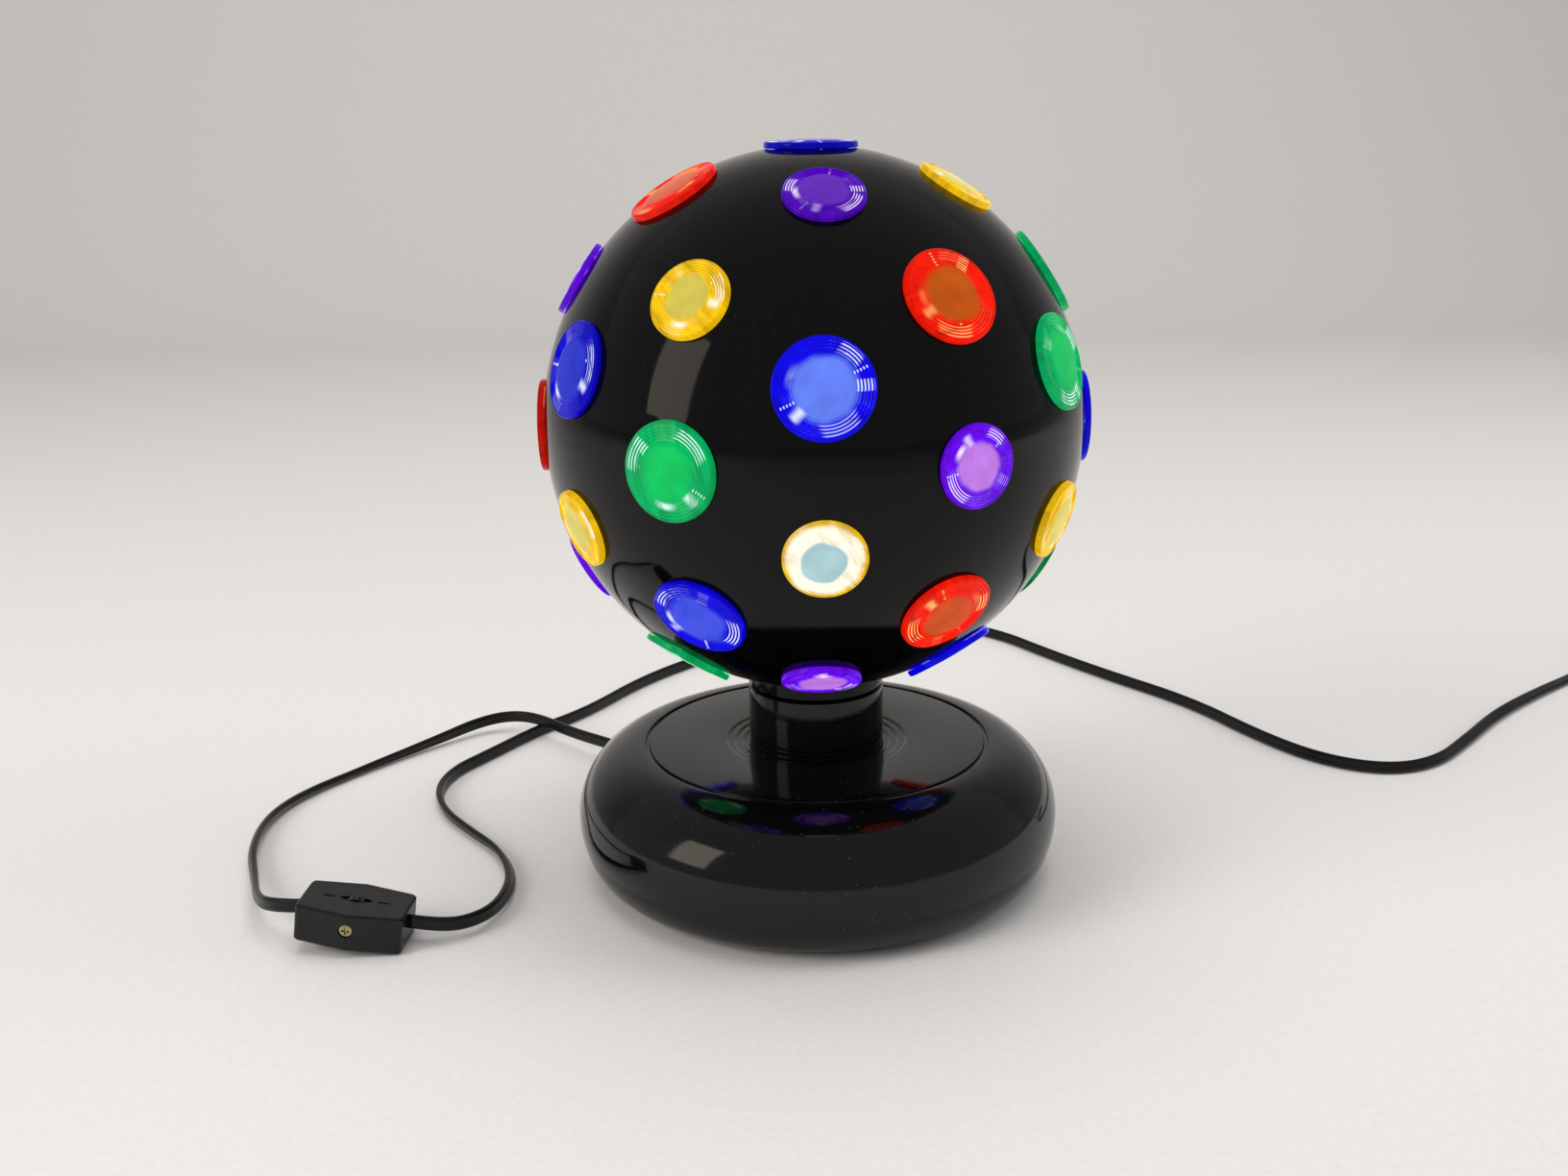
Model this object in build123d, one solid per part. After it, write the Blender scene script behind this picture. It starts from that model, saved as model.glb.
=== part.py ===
from build123d import *
import math
import os

os.makedirs("parts", exist_ok=True)

# Every length is in millimetres and every angle in degrees.
# The light stands on Z = 0 with its ball turning about the Z axis.
# The front of the light faces -Y, and longitudes on the ball count from there towards +X.

# General allowances
overrun = 1.0
easy_fit = 0.05
clear_gap = 0.1

# Base: a bun-shaped black housing with a flat top plate
base_height = 53.0
base_wall = 2.5
widest_radius = 95.4
widest_height = 26.0
plate_radius = 69.0
shoulder_shares = (0.705, 0.69)
seam_height = 17.0
seam_inset = 0.8
flank_bulge = 0.25
seam_gap = 0.4
groove_inset = 1.2
groove_width = 1.0
groove_depth = 0.8

# Well around the neck, a few fine steps deep
well_step_count = 3
well_width = 9.5
well_step_depth = 0.65
well_flat_share = 0.26
well_slope_share = 0.08

# Neck: a fixed tube that carries the ball's bearing
neck_radius = 26.5
neck_wall = 2.6
neck_above_plate = 23.5
neck_edge = 0.5
neck_collar_width = 11.5
neck_collar_depth = 6.0
neck_flange_width = 13.5
neck_flange_thick = 2.5
neck_deck_thick = 3.0
neck_screw_count = 3
first_neck_screw_angle = 90.0

# Ball: two half shells that meet at the equator
ball_radius = 101.5
ball_wall = 2.2
ball_lift = 26.8
ball_lip_height = 3.0
ball_lip_wall = 1.05
running_gap = 0.8
skirt_wall = 2.5
skirt_floor_thick = 4.0

# Lenses: flat discs that sit in round holes from outside
large_lens_radius = 17.3
small_lens_radius = 14.5
lens_lap = 2.2
lens_edge_height = 1.5
lens_height = 2.3
lens_bevel = 0.9
lens_crown = 0.45
lens_plug_depth = 2.9
lens_plug_gap = 0.15
lens_zone_share = 0.6

# Lens rows: latitude, longitude of the first lens, colours eastward at even spacing
polar_angle = 58.5
outer_angle = 32.5
inner_angle = 16.2
lower_polar_angle = 56.0
lens_rows = (
    (90.0, 0.0, ("blue",)),
    (polar_angle, 3.6, ("purple", "yellow", "blue", "green", "red")),
    (outer_angle, 31.0, ("red", "green", "blue", "yellow", "purple", "yellow")),
    (inner_angle, 1.0, ("blue", "green", "red", "purple", "yellow", "blue")),
    (0.0, 31.0, ("purple", "blue", "yellow", "green", "red", "green")),
    (-inner_angle, 1.0, ("yellow", "yellow", "blue", "green", "red", "yellow")),
    (-outer_angle, 31.0, ("red", "green", "yellow", "red", "purple", "blue")),
    (-lower_polar_angle, 1.0, ("purple", "blue", "red", "yellow", "blue", "green")),
)
lens_radii = {
    "red": large_lens_radius,
    "green": large_lens_radius,
    "blue": large_lens_radius,
    "yellow": small_lens_radius,
    "purple": small_lens_radius,
}

# Ball drive: spindle, bush and gears inside the neck
spindle_radius = 9.0
spindle_bore = 6.0
spindle_flange_radius = 19.0
spindle_flange_thick = 2.5
spindle_screw_circle = 14.0
spindle_screw_count = 3
spindle_tail = 1.6
bush_wall = 2.0
bush_drop = 10.5
bush_boss_wall = 3.0
gear_tooth_count = 24
pinion_tooth_count = 10
gear_room = 1.0
pressure_angle = 25.0
addendum_share = 0.9
dedendum_share = 1.15
thinning_share = 0.14
gear_thick = 8.0
gear_drop = 0.8
clip_thick = 1.0
clip_width = 2.8
clip_groove_depth = 0.8

# Geared motor beside the lamp post
motor_angle = 30.0
motor_radius = 20.0
motor_offset = 15.0
motor_bottom = 10.0
motor_height = 18.0
motor_plate_thick = 1.2
motor_ear_gap = 0.8
motor_ear_width = 9.0
motor_nose_radius = 5.0
motor_nose_height = 2.8
motor_shaft_radius = 2.0
motor_shaft_socket = 6.0

# Lamp: a hollow post with a six-sided head of lights at the ball's centre
head_side_count = 6
post_radius = 5.0
post_bore = 3.8
post_foot = 3.0
post_boss_radius = 11.5
nut_side_count = 6
nut_flats = 16.0
nut_thick = 5.0
nut_pocket_depth = 1.05
heatsink_flats = 26.0
heatsink_height = 58.0
heatsink_grip = 13.0
led_board_width = 13.0
led_board_thick = 1.2
led_board_margin = 2.0
led_side = 5.0
led_height = 1.4
led_row_count = 3
led_row_share = 0.29
top_board_radius = 11.0
top_led_share = 0.6
first_top_led_angle = 90.0

# Pan under the base
pan_floor = 2.0
pan_floor_thick = 2.5
pan_turn_up = 10.6
pan_inset = 1.0
pan_bulge_shares = (0.73, 0.38)
pan_lip_height = 3.4
pan_lip_wall = 1.8
pan_lip_gap = 0.3
boss_inset = 20.6
boss_count = 4
first_boss_angle = 0.0
boss_radius = 4.2
boss_split = 14.0
screw_shank = 1.2
screw_pilot = 1.25
screw_hole = 1.8
screw_head = 3.1
screw_head_height = 1.8
screw_bite = 9.0
screw_straight_share = 0.55
screw_crown_share = 0.7
foot_radius = 8.0
foot_height = 2.6
foot_edge = 0.8
foot_inset = 12.0
first_foot_angle = 45.0
vent_count = 5
vent_length = 16.0
vent_width = 2.4
vent_pitch = 5.0

# Driver board: places on it are shares of its half width outward and half length sideways
board_angle = 200.0
board_boss_gap = 8.3
board_length = 46.0
board_width = 30.0
board_thick = 1.6
board_height = 12.0
board_post_radius = 3.0
board_screw_head = 2.4
board_screw_length = 6.0
transformer_size = (15.0, 17.0, 13.0)
transformer_shares = (-0.07, 0.43)
capacitor_radius = 5.0
capacitor_height = 13.0
capacitor_shares = (0.4, -0.24)
bridge_size = (4.0, 9.0, 7.0)
bridge_shares = (0.82, 0.26)
terminal_size = (12.0, 9.0, 10.0)
terminal_shares = (-0.53, -0.53)
lamp_lead_shares = (-0.83, 0.0)
motor_lead_shares = (-0.83, 0.26)

# Leads inside the base
lead_radius = 1.5
lead_bend = 4.0
lead_side_gap = 0.2
lead_side_count = 8
motor_lead_side_angle = 250.0
motor_lead_run = 10.0
motor_lead_rise = 8.5
motor_lead_detour = 17.0
motor_lead_detour_angle = 270.0
mains_exit_run = 18.0
mains_terminal_run = 16.0
mains_terminal_drop = 4.0

# Flat two-core lead and where it leaves the base
cord_width = 5.4
cord_thick = 2.8
cord_corner_share = 0.3
cord_exit_angle = 130.2
cord_exit_height = 9.0
cord_first_run = 22.0
cord_arc_share = 0.45
gland_radius = 6.5
gland_flange_radius = 4.4
gland_flange_thick = 2.5
relief_length = 22.0
relief_root = 5.0
relief_root_length = 3.0
relief_tip = 3.3
relief_neck = 3.4

# Cord switch
switch_length = 40.0
switch_end_depth = 21.0
switch_mid_depth = 27.0
switch_height = 14.5
switch_corner = 2.0
switch_edge = 0.8
switch_x = -172.5
switch_y = -66.5
switch_yaw_angle = -4.0
switch_tilt_angle = 8.0
switch_cord_rise = 1.5
switch_lead_in = 20.0
switch_lead_out = 13.0
wheel_radius = 7.0
wheel_thick = 3.0
wheel_rise = 0.8
wheel_side_gap = 0.2
wheel_rim_gap = 0.3
wheel_hub = 2.25
wheel_notch_count = 20
wheel_notch_depth = 0.5
wheel_notch_share = 0.3
eye_length = 13.0
eye_width = 4.2
mark_length = 4.2
mark_width = 1.0
mark_depth = 0.6
mark_offset = 10.2
contact_offset = 12.5
contact_length = 8.0
contact_thick = 0.6
contact_height = 5.0
switch_screw_hole = 1.4
switch_screw_head = 2.6
switch_screw_head_height = 1.4
switch_screw_sink = 0.4
switch_nut_radius = 3.2
switch_nut_thick = 2.2

# Put-away coil and plug past the end of the laid-out lead
coil_radius = 32.0
coil_pitch = 9.4
coil_layer = 3.7
coil_turn_count = 2.0
coil_climb_count = 0.5
coil_tail = 28.0
coil_station_count = 8
coil_sample_count = 400
coil_skip_count = 60
coil_slope_share = 0.0001
plug_length = 28.0
plug_taper = 10.0
plug_width = 24.0
plug_thick = 12.6
plug_rear_width = 9.0
plug_rear_thick = 7.0
plug_corner = 2.6
blade_length = 17.0
blade_thick = 1.5
blade_height = 6.35
blade_spacing = 12.7

# Places that follow from the sizes above
seam_radius = widest_radius - seam_inset
groove_radius = plate_radius - groove_inset
well_radius = neck_radius + well_width
well_floor = base_height - well_step_count * well_step_depth
neck_inner = neck_radius - neck_wall
neck_top = base_height + neck_above_plate
neck_collar_radius = neck_radius + neck_collar_width
neck_flange_radius = neck_radius + neck_flange_width
neck_screw_circle = neck_radius + neck_collar_width / 2
collar_bottom = well_floor - neck_collar_depth
flange_bottom = collar_bottom - neck_flange_thick
ball_centre = base_height + ball_lift + ball_radius
skirt_bottom = neck_top + running_gap
skirt_top = skirt_bottom + skirt_floor_thick
bush_bottom = neck_top - bush_drop
bush_outer = spindle_radius + easy_fit + bush_wall
gear_top = bush_bottom - gear_drop
gear_bottom = gear_top - gear_thick
clip_bottom = gear_bottom - clip_thick
mesh_teeth = gear_tooth_count / 2 + pinion_tooth_count + addendum_share
gear_module = (neck_inner - gear_room) / mesh_teeth
shaft_distance = gear_module * (gear_tooth_count + pinion_tooth_count) / 2
motor_distance = shaft_distance + motor_offset
motor_top = motor_bottom + motor_height
motor_plate_top = motor_top + motor_plate_thick
motor_ear_reach = motor_radius + boss_radius + motor_ear_gap
pan_inside = pan_floor + pan_floor_thick
pan_flat_radius = seam_radius - pan_turn_up
pan_rim = seam_radius - pan_inset
pan_top = seam_height - seam_gap
boss_circle = seam_radius - boss_inset
foot_circle = pan_flat_radius - foot_inset
boss_reach = boss_circle * math.cos(math.radians(board_angle - 180))
board_distance = boss_reach - boss_radius - board_boss_gap - board_width / 2
gland_face = pan_flat_radius - pan_floor_thick
board_top = board_height + board_thick
heatsink_low = ball_centre - heatsink_height / 2
heatsink_high = ball_centre + heatsink_height / 2
post_top = heatsink_low + heatsink_grip
nut_pocket_top = pan_inside + nut_pocket_depth

nodes = {}


def add(name, *solids):
    """Collects the separate solids of one sub-part under its name."""
    nodes.setdefault(name, []).extend(solids)


def turned(outline):
    """A solid of revolution about Z from a closed half outline of (radius, height)."""
    return revolve(Plane.XZ * make_face(outline), Axis.Z)


def rod(radius, low, high, x=0.0, y=0.0):
    """An upright round bar between two heights."""
    return Pos(x, y, low) * Cylinder(radius, high - low, align=(Align.CENTER, Align.CENTER, Align.MIN))


def tube(outer, inner, low, high, x=0.0, y=0.0):
    """An upright round tube between two heights."""
    return rod(outer, low, high, x, y) - rod(inner, low - overrun, high + overrun, x, y)


def slab(length, width, low, high, x=0.0, y=0.0, turn=0.0):
    """An upright block of a length and width between two heights, turned about Z."""
    block = Box(length, width, high - low, align=(Align.CENTER, Align.CENTER, Align.MIN))
    return Pos(x, y, low) * Rot(Z=turn) * block


def around(radius, angle, along=0.0):
    """The point at a radius in the direction of an angle, moved sideways by a length."""
    a = math.radians(angle)
    return (
        radius * math.cos(a) - along * math.sin(a),
        radius * math.sin(a) + along * math.cos(a),
    )


def ring_of(count, radius, first_angle):
    """Evenly spaced places on a circle."""
    return [around(radius, first_angle + 360 * k / count) for k in range(count)]


def screw(head_radius, head_height, shank_radius, length):
    """A screw on the Z axis: its head's underside at zero, its pointed shank below."""
    outline = Polyline(
        (0, -length),
        (shank_radius, shank_radius - length),
        (shank_radius, 0),
        (head_radius, 0),
        (head_radius, head_height * screw_straight_share),
        (head_radius * screw_crown_share, head_height),
        (0, head_height),
        (0, -length),
    )
    return turned(outline)


base_screw_places = ring_of(boss_count, boss_circle, first_boss_angle)
foot_places = ring_of(boss_count, foot_circle, first_foot_angle)
neck_screw_places = ring_of(neck_screw_count, neck_screw_circle, first_neck_screw_angle)
spindle_screw_places = ring_of(spindle_screw_count, spindle_screw_circle, motor_angle)
motor_x, motor_y = around(motor_distance, motor_angle)
shaft_x, shaft_y = around(shaft_distance, motor_angle)
ear_places = [around(motor_distance, motor_angle, side * motor_ear_reach) for side in (-1, 1)]
board_x, board_y = around(board_distance, board_angle)
board_places = [
    around(
        board_distance + out * (board_width / 2 - board_post_radius),
        board_angle,
        along * (board_length / 2 - board_post_radius),
    )
    for out in (-1, 1)
    for along in (-1, 1)
]


def on_board(shares, beyond=0.0):
    """A place on the driver board, moved a length further sideways."""
    return around(
        board_distance + shares[0] * board_width / 2,
        board_angle,
        shares[1] * board_length / 2 + beyond,
    )


# Top cover of the base
inner_widest = widest_radius - base_wall
cover_underside = base_height - base_wall
shoulder = (
    plate_radius + (widest_radius - plate_radius) * shoulder_shares[0],
    widest_height + (base_height - widest_height) * shoulder_shares[1],
)
inner_shoulder = (
    plate_radius + (inner_widest - plate_radius) * shoulder_shares[0],
    widest_height + (cover_underside - widest_height) * shoulder_shares[1],
)
flank = ((seam_radius + widest_radius) / 2 + flank_bulge, (seam_height + widest_height) / 2)
well_outline = [(well_radius, base_height)]
for k in range(1, well_step_count + 1):
    level = base_height - k * well_step_depth
    edge = well_outline[-1][0] - well_width * well_slope_share
    well_outline.append((edge, level))
    if k < well_step_count:
        well_outline.append((edge - well_width * well_flat_share, level))
cover_outline = (
    Polyline(
        (neck_radius + easy_fit, well_floor),
        (neck_radius + easy_fit, collar_bottom),
        (neck_collar_radius, collar_bottom),
        (neck_collar_radius, cover_underside),
        (plate_radius, cover_underside),
    )
    + ThreePointArc((plate_radius, cover_underside), inner_shoulder, (inner_widest, widest_height))
    + Polyline(
        (inner_widest, widest_height),
        (seam_radius - base_wall, seam_height),
        (seam_radius, seam_height),
    )
    + ThreePointArc((seam_radius, seam_height), flank, (widest_radius, widest_height))
    + ThreePointArc((widest_radius, widest_height), shoulder, (plate_radius, base_height))
    + Polyline(
        (plate_radius, base_height),
        (groove_radius + groove_width / 2, base_height),
        (groove_radius + groove_width / 2, base_height - groove_depth),
        (groove_radius - groove_width / 2, base_height - groove_depth),
        (groove_radius - groove_width / 2, base_height),
        *well_outline,
        (neck_radius + easy_fit, well_floor),
    )
)
cover = turned(cover_outline)
screw_top = boss_split + screw_bite
cover_cuts = []
for x, y in base_screw_places:
    cover += rod(boss_radius, boss_split, cover_underside, x, y)
    cover_cuts.append(rod(screw_pilot, boss_split - overrun, screw_top + overrun, x, y))
for x, y in neck_screw_places:
    cover_cuts.append(rod(screw_pilot, collar_bottom - overrun, well_floor - overrun, x, y))
add("base_top_cover", cover - cover_cuts)

# Bottom pan of the base
pan_bulge = (
    pan_flat_radius + (pan_rim - pan_flat_radius) * pan_bulge_shares[0],
    pan_floor + (pan_top - pan_floor) * pan_bulge_shares[1],
)
lip_outer = seam_radius - base_wall - pan_lip_gap
lip_inner = lip_outer - pan_lip_wall


def pan_skin(grow):
    """The solid inside the pan's outer surface, grown by a clearance."""
    rim = (pan_rim + grow, pan_top)
    bulge = (pan_bulge[0] + grow, pan_bulge[1] - grow)
    turn_up = (pan_flat_radius, pan_floor - grow)
    outline = Polyline(rim, (0, pan_top), (0, pan_floor - grow), turn_up)
    return turned(outline + ThreePointArc(turn_up, bulge, rim))


inner_rim = (lip_inner, pan_top)
inner_bulge = (pan_bulge[0] - pan_floor_thick, pan_bulge[1] + pan_floor_thick / 2)
inner_turn_up = (gland_face, pan_inside)
pan_hollow = turned(
    Polyline(inner_rim, (0, pan_top), (0, pan_inside), inner_turn_up)
    + ThreePointArc(inner_turn_up, inner_bulge, inner_rim)
)
exit_x, exit_y = around(1, cord_exit_angle)
exit_plane = Plane(origin=(0, 0, cord_exit_height), x_dir=(-exit_y, exit_x, 0), z_dir=(exit_x, exit_y, 0))
pan = pan_skin(0) - pan_hollow
pan += tube(lip_outer, lip_inner, pan_top - pan_lip_wall, pan_top + pan_lip_height)
pan += rod(post_boss_radius, pan_inside - easy_fit, boss_split)
pan += exit_plane * rod(gland_radius, gland_face, seam_radius) & pan_skin(0)
for x, y in ear_places:
    pan += rod(boss_radius, pan_inside - easy_fit, motor_top, x, y)
for x, y in board_places:
    pan += rod(board_post_radius, pan_inside - easy_fit, board_height, x, y)
for x, y in base_screw_places:
    pan += rod(boss_radius, pan_inside - easy_fit, boss_split - easy_fit, x, y)
pan_cuts = [
    rod(post_radius + clear_gap, 0, base_height),
    rod(post_boss_radius - post_foot / 2, 0, nut_pocket_top),
    exit_plane * rod(relief_neck + easy_fit, gland_face - overrun, widest_radius),
]
for x, y in base_screw_places:
    pan_cuts.append(rod(screw_hole, 0, base_height, x, y))
    pan_cuts.append(rod(screw_head + clear_gap, 0, pan_inside, x, y))
for x, y in foot_places:
    pan_cuts.append(rod(foot_radius + easy_fit, 0, foot_height, x, y))
for x, y in ear_places:
    pan_cuts.append(rod(screw_pilot, motor_bottom, base_height, x, y))
for x, y in board_places:
    pan_cuts.append(rod(screw_pilot, pan_inside + overrun, base_height, x, y))
for k in range(vent_count):
    x, y = around(vent_pitch * (k - (vent_count - 1) / 2) + board_distance, board_angle)
    pan_cuts.append(slab(vent_width, vent_length, 0, pan_inside + overrun, x, y, board_angle))
add("base_bottom_pan", pan - pan_cuts)

# Rubber feet
foot_outline = Polyline(
    (0, 0),
    (foot_radius - foot_edge, 0),
    (foot_radius, foot_edge),
    (foot_radius, foot_height),
    (0, foot_height),
    (0, 0),
)
foot = turned(foot_outline)
for x, y in foot_places:
    add("rubber_feet", Pos(x, y, 0) * foot)

# Screws that close the base from below
base_screw = Rot(X=180) * screw(screw_head, screw_head_height, screw_shank, screw_top - pan_inside)
for x, y in base_screw_places:
    add("base_screws", Pos(x, y, pan_inside) * base_screw)

# Fixed neck tube with its bearing deck
bush_seat = bush_outer + easy_fit / 2
deck_bottom = neck_top - neck_deck_thick
neck_outline = Polyline(
    (neck_inner, flange_bottom),
    (neck_flange_radius, flange_bottom),
    (neck_flange_radius, collar_bottom),
    (neck_radius, collar_bottom),
    (neck_radius, neck_top - neck_edge),
    (neck_radius - neck_edge, neck_top),
    (bush_seat, neck_top),
    (bush_seat, bush_bottom),
    (bush_seat + bush_boss_wall, bush_bottom),
    (bush_seat + bush_boss_wall, deck_bottom),
    (neck_inner, deck_bottom),
    (neck_inner, flange_bottom),
)
neck_cuts = [
    rod(screw_hole, flange_bottom - overrun, collar_bottom + overrun, x, y) for x, y in neck_screw_places
]
add("neck_tube", turned(neck_outline) - neck_cuts)
neck_screw_length = well_floor - flange_bottom - 2 * overrun
neck_screw = Rot(X=180) * screw(screw_head, screw_head_height, screw_shank, neck_screw_length)
for x, y in neck_screw_places:
    add("neck_screws", Pos(x, y, flange_bottom) * neck_screw)

# Flanged bush: bearing and thrust washer in one
bush_flange = bush_outer + bush_boss_wall
bush_top = skirt_bottom - clear_gap
bush_outline = Polyline(
    (spindle_radius + easy_fit, bush_bottom),
    (bush_outer, bush_bottom),
    (bush_outer, neck_top),
    (bush_flange, neck_top),
    (bush_flange, bush_top),
    (spindle_radius + easy_fit, bush_top),
    (spindle_radius + easy_fit, bush_bottom),
)
add("bearing_bush", turned(bush_outline))

# Ball: half shells with a lapped joint, drilled for the lenses
inner_ball = ball_radius - ball_wall
ball_place = Pos(0, 0, ball_centre)
upper_space = slab(3 * ball_radius, 3 * ball_radius, 0, 2 * ball_radius)
lower_space = slab(3 * ball_radius, 3 * ball_radius, -2 * ball_radius, 0)
hollow_ball = Sphere(ball_radius) - Sphere(inner_ball)
lip_radius = inner_ball + ball_lip_wall
upper_shell = (hollow_ball & upper_space) + tube(lip_radius, inner_ball, -ball_lip_height, ball_wall)
lower_shell = (hollow_ball & lower_space) - rod(lip_radius + easy_fit, -ball_lip_height - easy_fit, overrun)


def lens_blank(lens_radius):
    """One lens on the Z axis: plug below, bevelled flange and shallow crown above."""
    hole = lens_radius - lens_lap
    plug = hole - lens_plug_gap
    seat = math.sqrt(ball_radius**2 - hole**2) + easy_fit
    zone = lens_radius * lens_zone_share
    outline = Polyline(
        (0, seat - lens_plug_depth),
        (plug, seat - lens_plug_depth),
        (plug, seat),
        (lens_radius, seat),
        (lens_radius, seat + lens_edge_height),
        (lens_radius - lens_bevel, seat + lens_height),
        (zone, seat + lens_height + lens_crown),
        (0, seat + lens_height + lens_crown),
        (0, seat - lens_plug_depth),
    )
    return turned(outline)


def ball_plane(latitude, longitude):
    """The plane through the ball's centre whose normal points at a place on the ball."""
    lat = math.radians(latitude)
    lon = math.radians(longitude - 90)
    outward = (math.cos(lat) * math.cos(lon), math.cos(lat) * math.sin(lon), math.sin(lat))
    eastward = (-math.sin(lon), math.cos(lon), 0)
    return Plane(origin=(0, 0, 0), x_dir=eastward, z_dir=outward)


blanks = {colour: lens_blank(radius) for colour, radius in lens_radii.items()}
upper_holes = []
lower_holes = []
for latitude, first, colours in lens_rows:
    for k, colour in enumerate(colours):
        plane = ball_plane(latitude, first + 360 * k / len(colours))
        hole_radius = lens_radii[colour] - lens_lap
        hole = plane * rod(hole_radius, inner_ball - lens_plug_depth, ball_radius + overrun)
        if latitude >= 0:
            upper_holes.append(hole)
        if latitude <= 0:
            lower_holes.append(hole)
        add("lenses_" + colour, ball_place * (plane * blanks[colour]))
add("ball_upper_shell", ball_place * (upper_shell - upper_holes))

# The lower shell ends in a short skirt with a floor for the spindle
skirt_inner = neck_radius - skirt_wall
skirt_merge = ball_centre - math.sqrt(inner_ball**2 - skirt_inner**2) - easy_fit
lower_shell = ball_place * (lower_shell - lower_holes)
lower_shell -= rod(skirt_inner, skirt_bottom - overrun, skirt_merge + overrun)
spindle_hole = spindle_radius + clear_gap
skirt_outline = Polyline(
    (spindle_hole, skirt_bottom),
    (neck_radius - neck_edge, skirt_bottom),
    (neck_radius, skirt_bottom + neck_edge),
    (neck_radius, skirt_merge),
    (skirt_inner, skirt_merge),
    (skirt_inner, skirt_top),
    (spindle_hole, skirt_top),
    (spindle_hole, skirt_bottom),
)
lower_shell += turned(skirt_outline)
for x, y in spindle_screw_places:
    lower_shell -= rod(screw_pilot, skirt_bottom + neck_edge, skirt_top + overrun, x, y)
add("ball_lower_shell", lower_shell)

# Hollow spindle that turns the ball
groove_bottom = clip_bottom - easy_fit
clip_seat = spindle_radius - clip_groove_depth
spindle_top = skirt_top + spindle_flange_thick
spindle_bottom = clip_bottom - spindle_tail
spindle_outline = Polyline(
    (spindle_bore, spindle_bottom),
    (spindle_radius, spindle_bottom),
    (spindle_radius, groove_bottom),
    (clip_seat, groove_bottom),
    (clip_seat, gear_bottom),
    (spindle_radius, gear_bottom),
    (spindle_radius, skirt_top),
    (spindle_flange_radius, skirt_top),
    (spindle_flange_radius, spindle_top),
    (spindle_bore, spindle_top),
    (spindle_bore, spindle_bottom),
)
spindle = turned(spindle_outline)
spindle_screw = screw(screw_head, screw_head_height, screw_shank, spindle_top - skirt_bottom - overrun)
for x, y in spindle_screw_places:
    spindle -= rod(screw_hole, skirt_top - overrun, spindle_top + overrun, x, y)
    add("spindle_screws", Pos(x, y, spindle_top) * spindle_screw)
add("ball_spindle", spindle)


def gear_face(teeth, first_tooth_angle):
    """A spur gear's outline: involute flanks as arcs, straight tips and roots."""
    pitch = gear_module * teeth / 2
    base = pitch * math.cos(math.radians(pressure_angle))
    tip = pitch + gear_module * addendum_share
    root = pitch - gear_module * dedendum_share
    start = max(base, root)
    middle = (start + tip) / 2
    involute = math.tan(math.radians(pressure_angle)) - math.radians(pressure_angle)
    half_tooth = math.pi / (2 * teeth) - thinning_share / teeth

    def point(radius, side, centre):
        roll = math.acos(min(1, base / radius)) if radius > base else 0
        half = half_tooth + involute - (math.tan(roll) - roll)
        angle = centre + side * half
        return (radius * math.cos(angle), radius * math.sin(angle))

    edges = []
    for k in range(teeth):
        centre = math.radians(first_tooth_angle + 360 * k / teeth)
        following = math.radians(first_tooth_angle + 360 * (k + 1) / teeth)
        rise = [point(radius, -1, centre) for radius in (start, middle, tip)]
        fall = [point(radius, 1, centre) for radius in (tip, middle, start)]
        foot_out = point(root, 1, centre)
        foot_in = point(root, -1, following)
        edges += [ThreePointArc(*rise), Line(rise[-1], fall[0]), ThreePointArc(*fall)]
        if root < start:
            edges += [Line(fall[-1], foot_out), Line(foot_out, foot_in)]
            edges.append(Line(foot_in, point(start, -1, following)))
        else:
            edges.append(Line(fall[-1], point(start, -1, following)))
    return make_face(edges)


# Driven gear on the spindle, held by an open clip
driven_gear = Pos(0, 0, gear_bottom) * extrude(gear_face(gear_tooth_count, motor_angle), gear_thick)
driven_gear -= rod(spindle_radius + easy_fit / 2, gear_bottom - overrun, gear_top + overrun)
add("driven_gear", driven_gear)
clip_outer = clip_seat + clip_width
clip = tube(clip_outer, clip_seat + easy_fit / 2, clip_bottom, gear_bottom - easy_fit / 2)
clip -= slab(clip_outer, spindle_radius, 0, base_height + neck_above_plate, -clip_outer)
add("gear_clip", clip)

# Pinion and geared motor
pinion_start = motor_angle + 180 + 180 / pinion_tooth_count
pinion_face = gear_face(pinion_tooth_count, pinion_start)
pinion = Pos(shaft_x, shaft_y, gear_bottom) * extrude(pinion_face, gear_thick)
pinion -= rod(motor_shaft_radius + easy_fit / 2, gear_bottom - overrun, gear_top + overrun, shaft_x, shaft_y)
add("drive_pinion", pinion)
nose_top = motor_plate_top + motor_nose_height
shaft_bottom = nose_top - motor_shaft_socket
add("motor_shaft", rod(motor_shaft_radius, shaft_bottom, gear_top + gear_drop / 2, shaft_x, shaft_y))
motor = rod(motor_radius, motor_bottom, motor_plate_top, motor_x, motor_y)
ear_span = 2 * motor_ear_reach
motor += slab(motor_ear_width, ear_span, motor_top, motor_plate_top, motor_x, motor_y, motor_angle)
for x, y in ear_places:
    motor += rod(motor_ear_width / 2, motor_top, motor_plate_top, x, y)
motor += rod(motor_nose_radius, motor_top, nose_top, shaft_x, shaft_y)
motor -= rod(motor_shaft_radius + easy_fit, shaft_bottom - easy_fit, base_height, shaft_x, shaft_y)
for x, y in ear_places:
    motor -= rod(screw_hole, motor_top - overrun, motor_plate_top + overrun, x, y)
add("gear_motor", motor)
motor_screw = screw(screw_head, screw_head_height, screw_shank, screw_bite)
for x, y in ear_places:
    add("motor_screws", Pos(x, y, motor_plate_top) * motor_screw)

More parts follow.
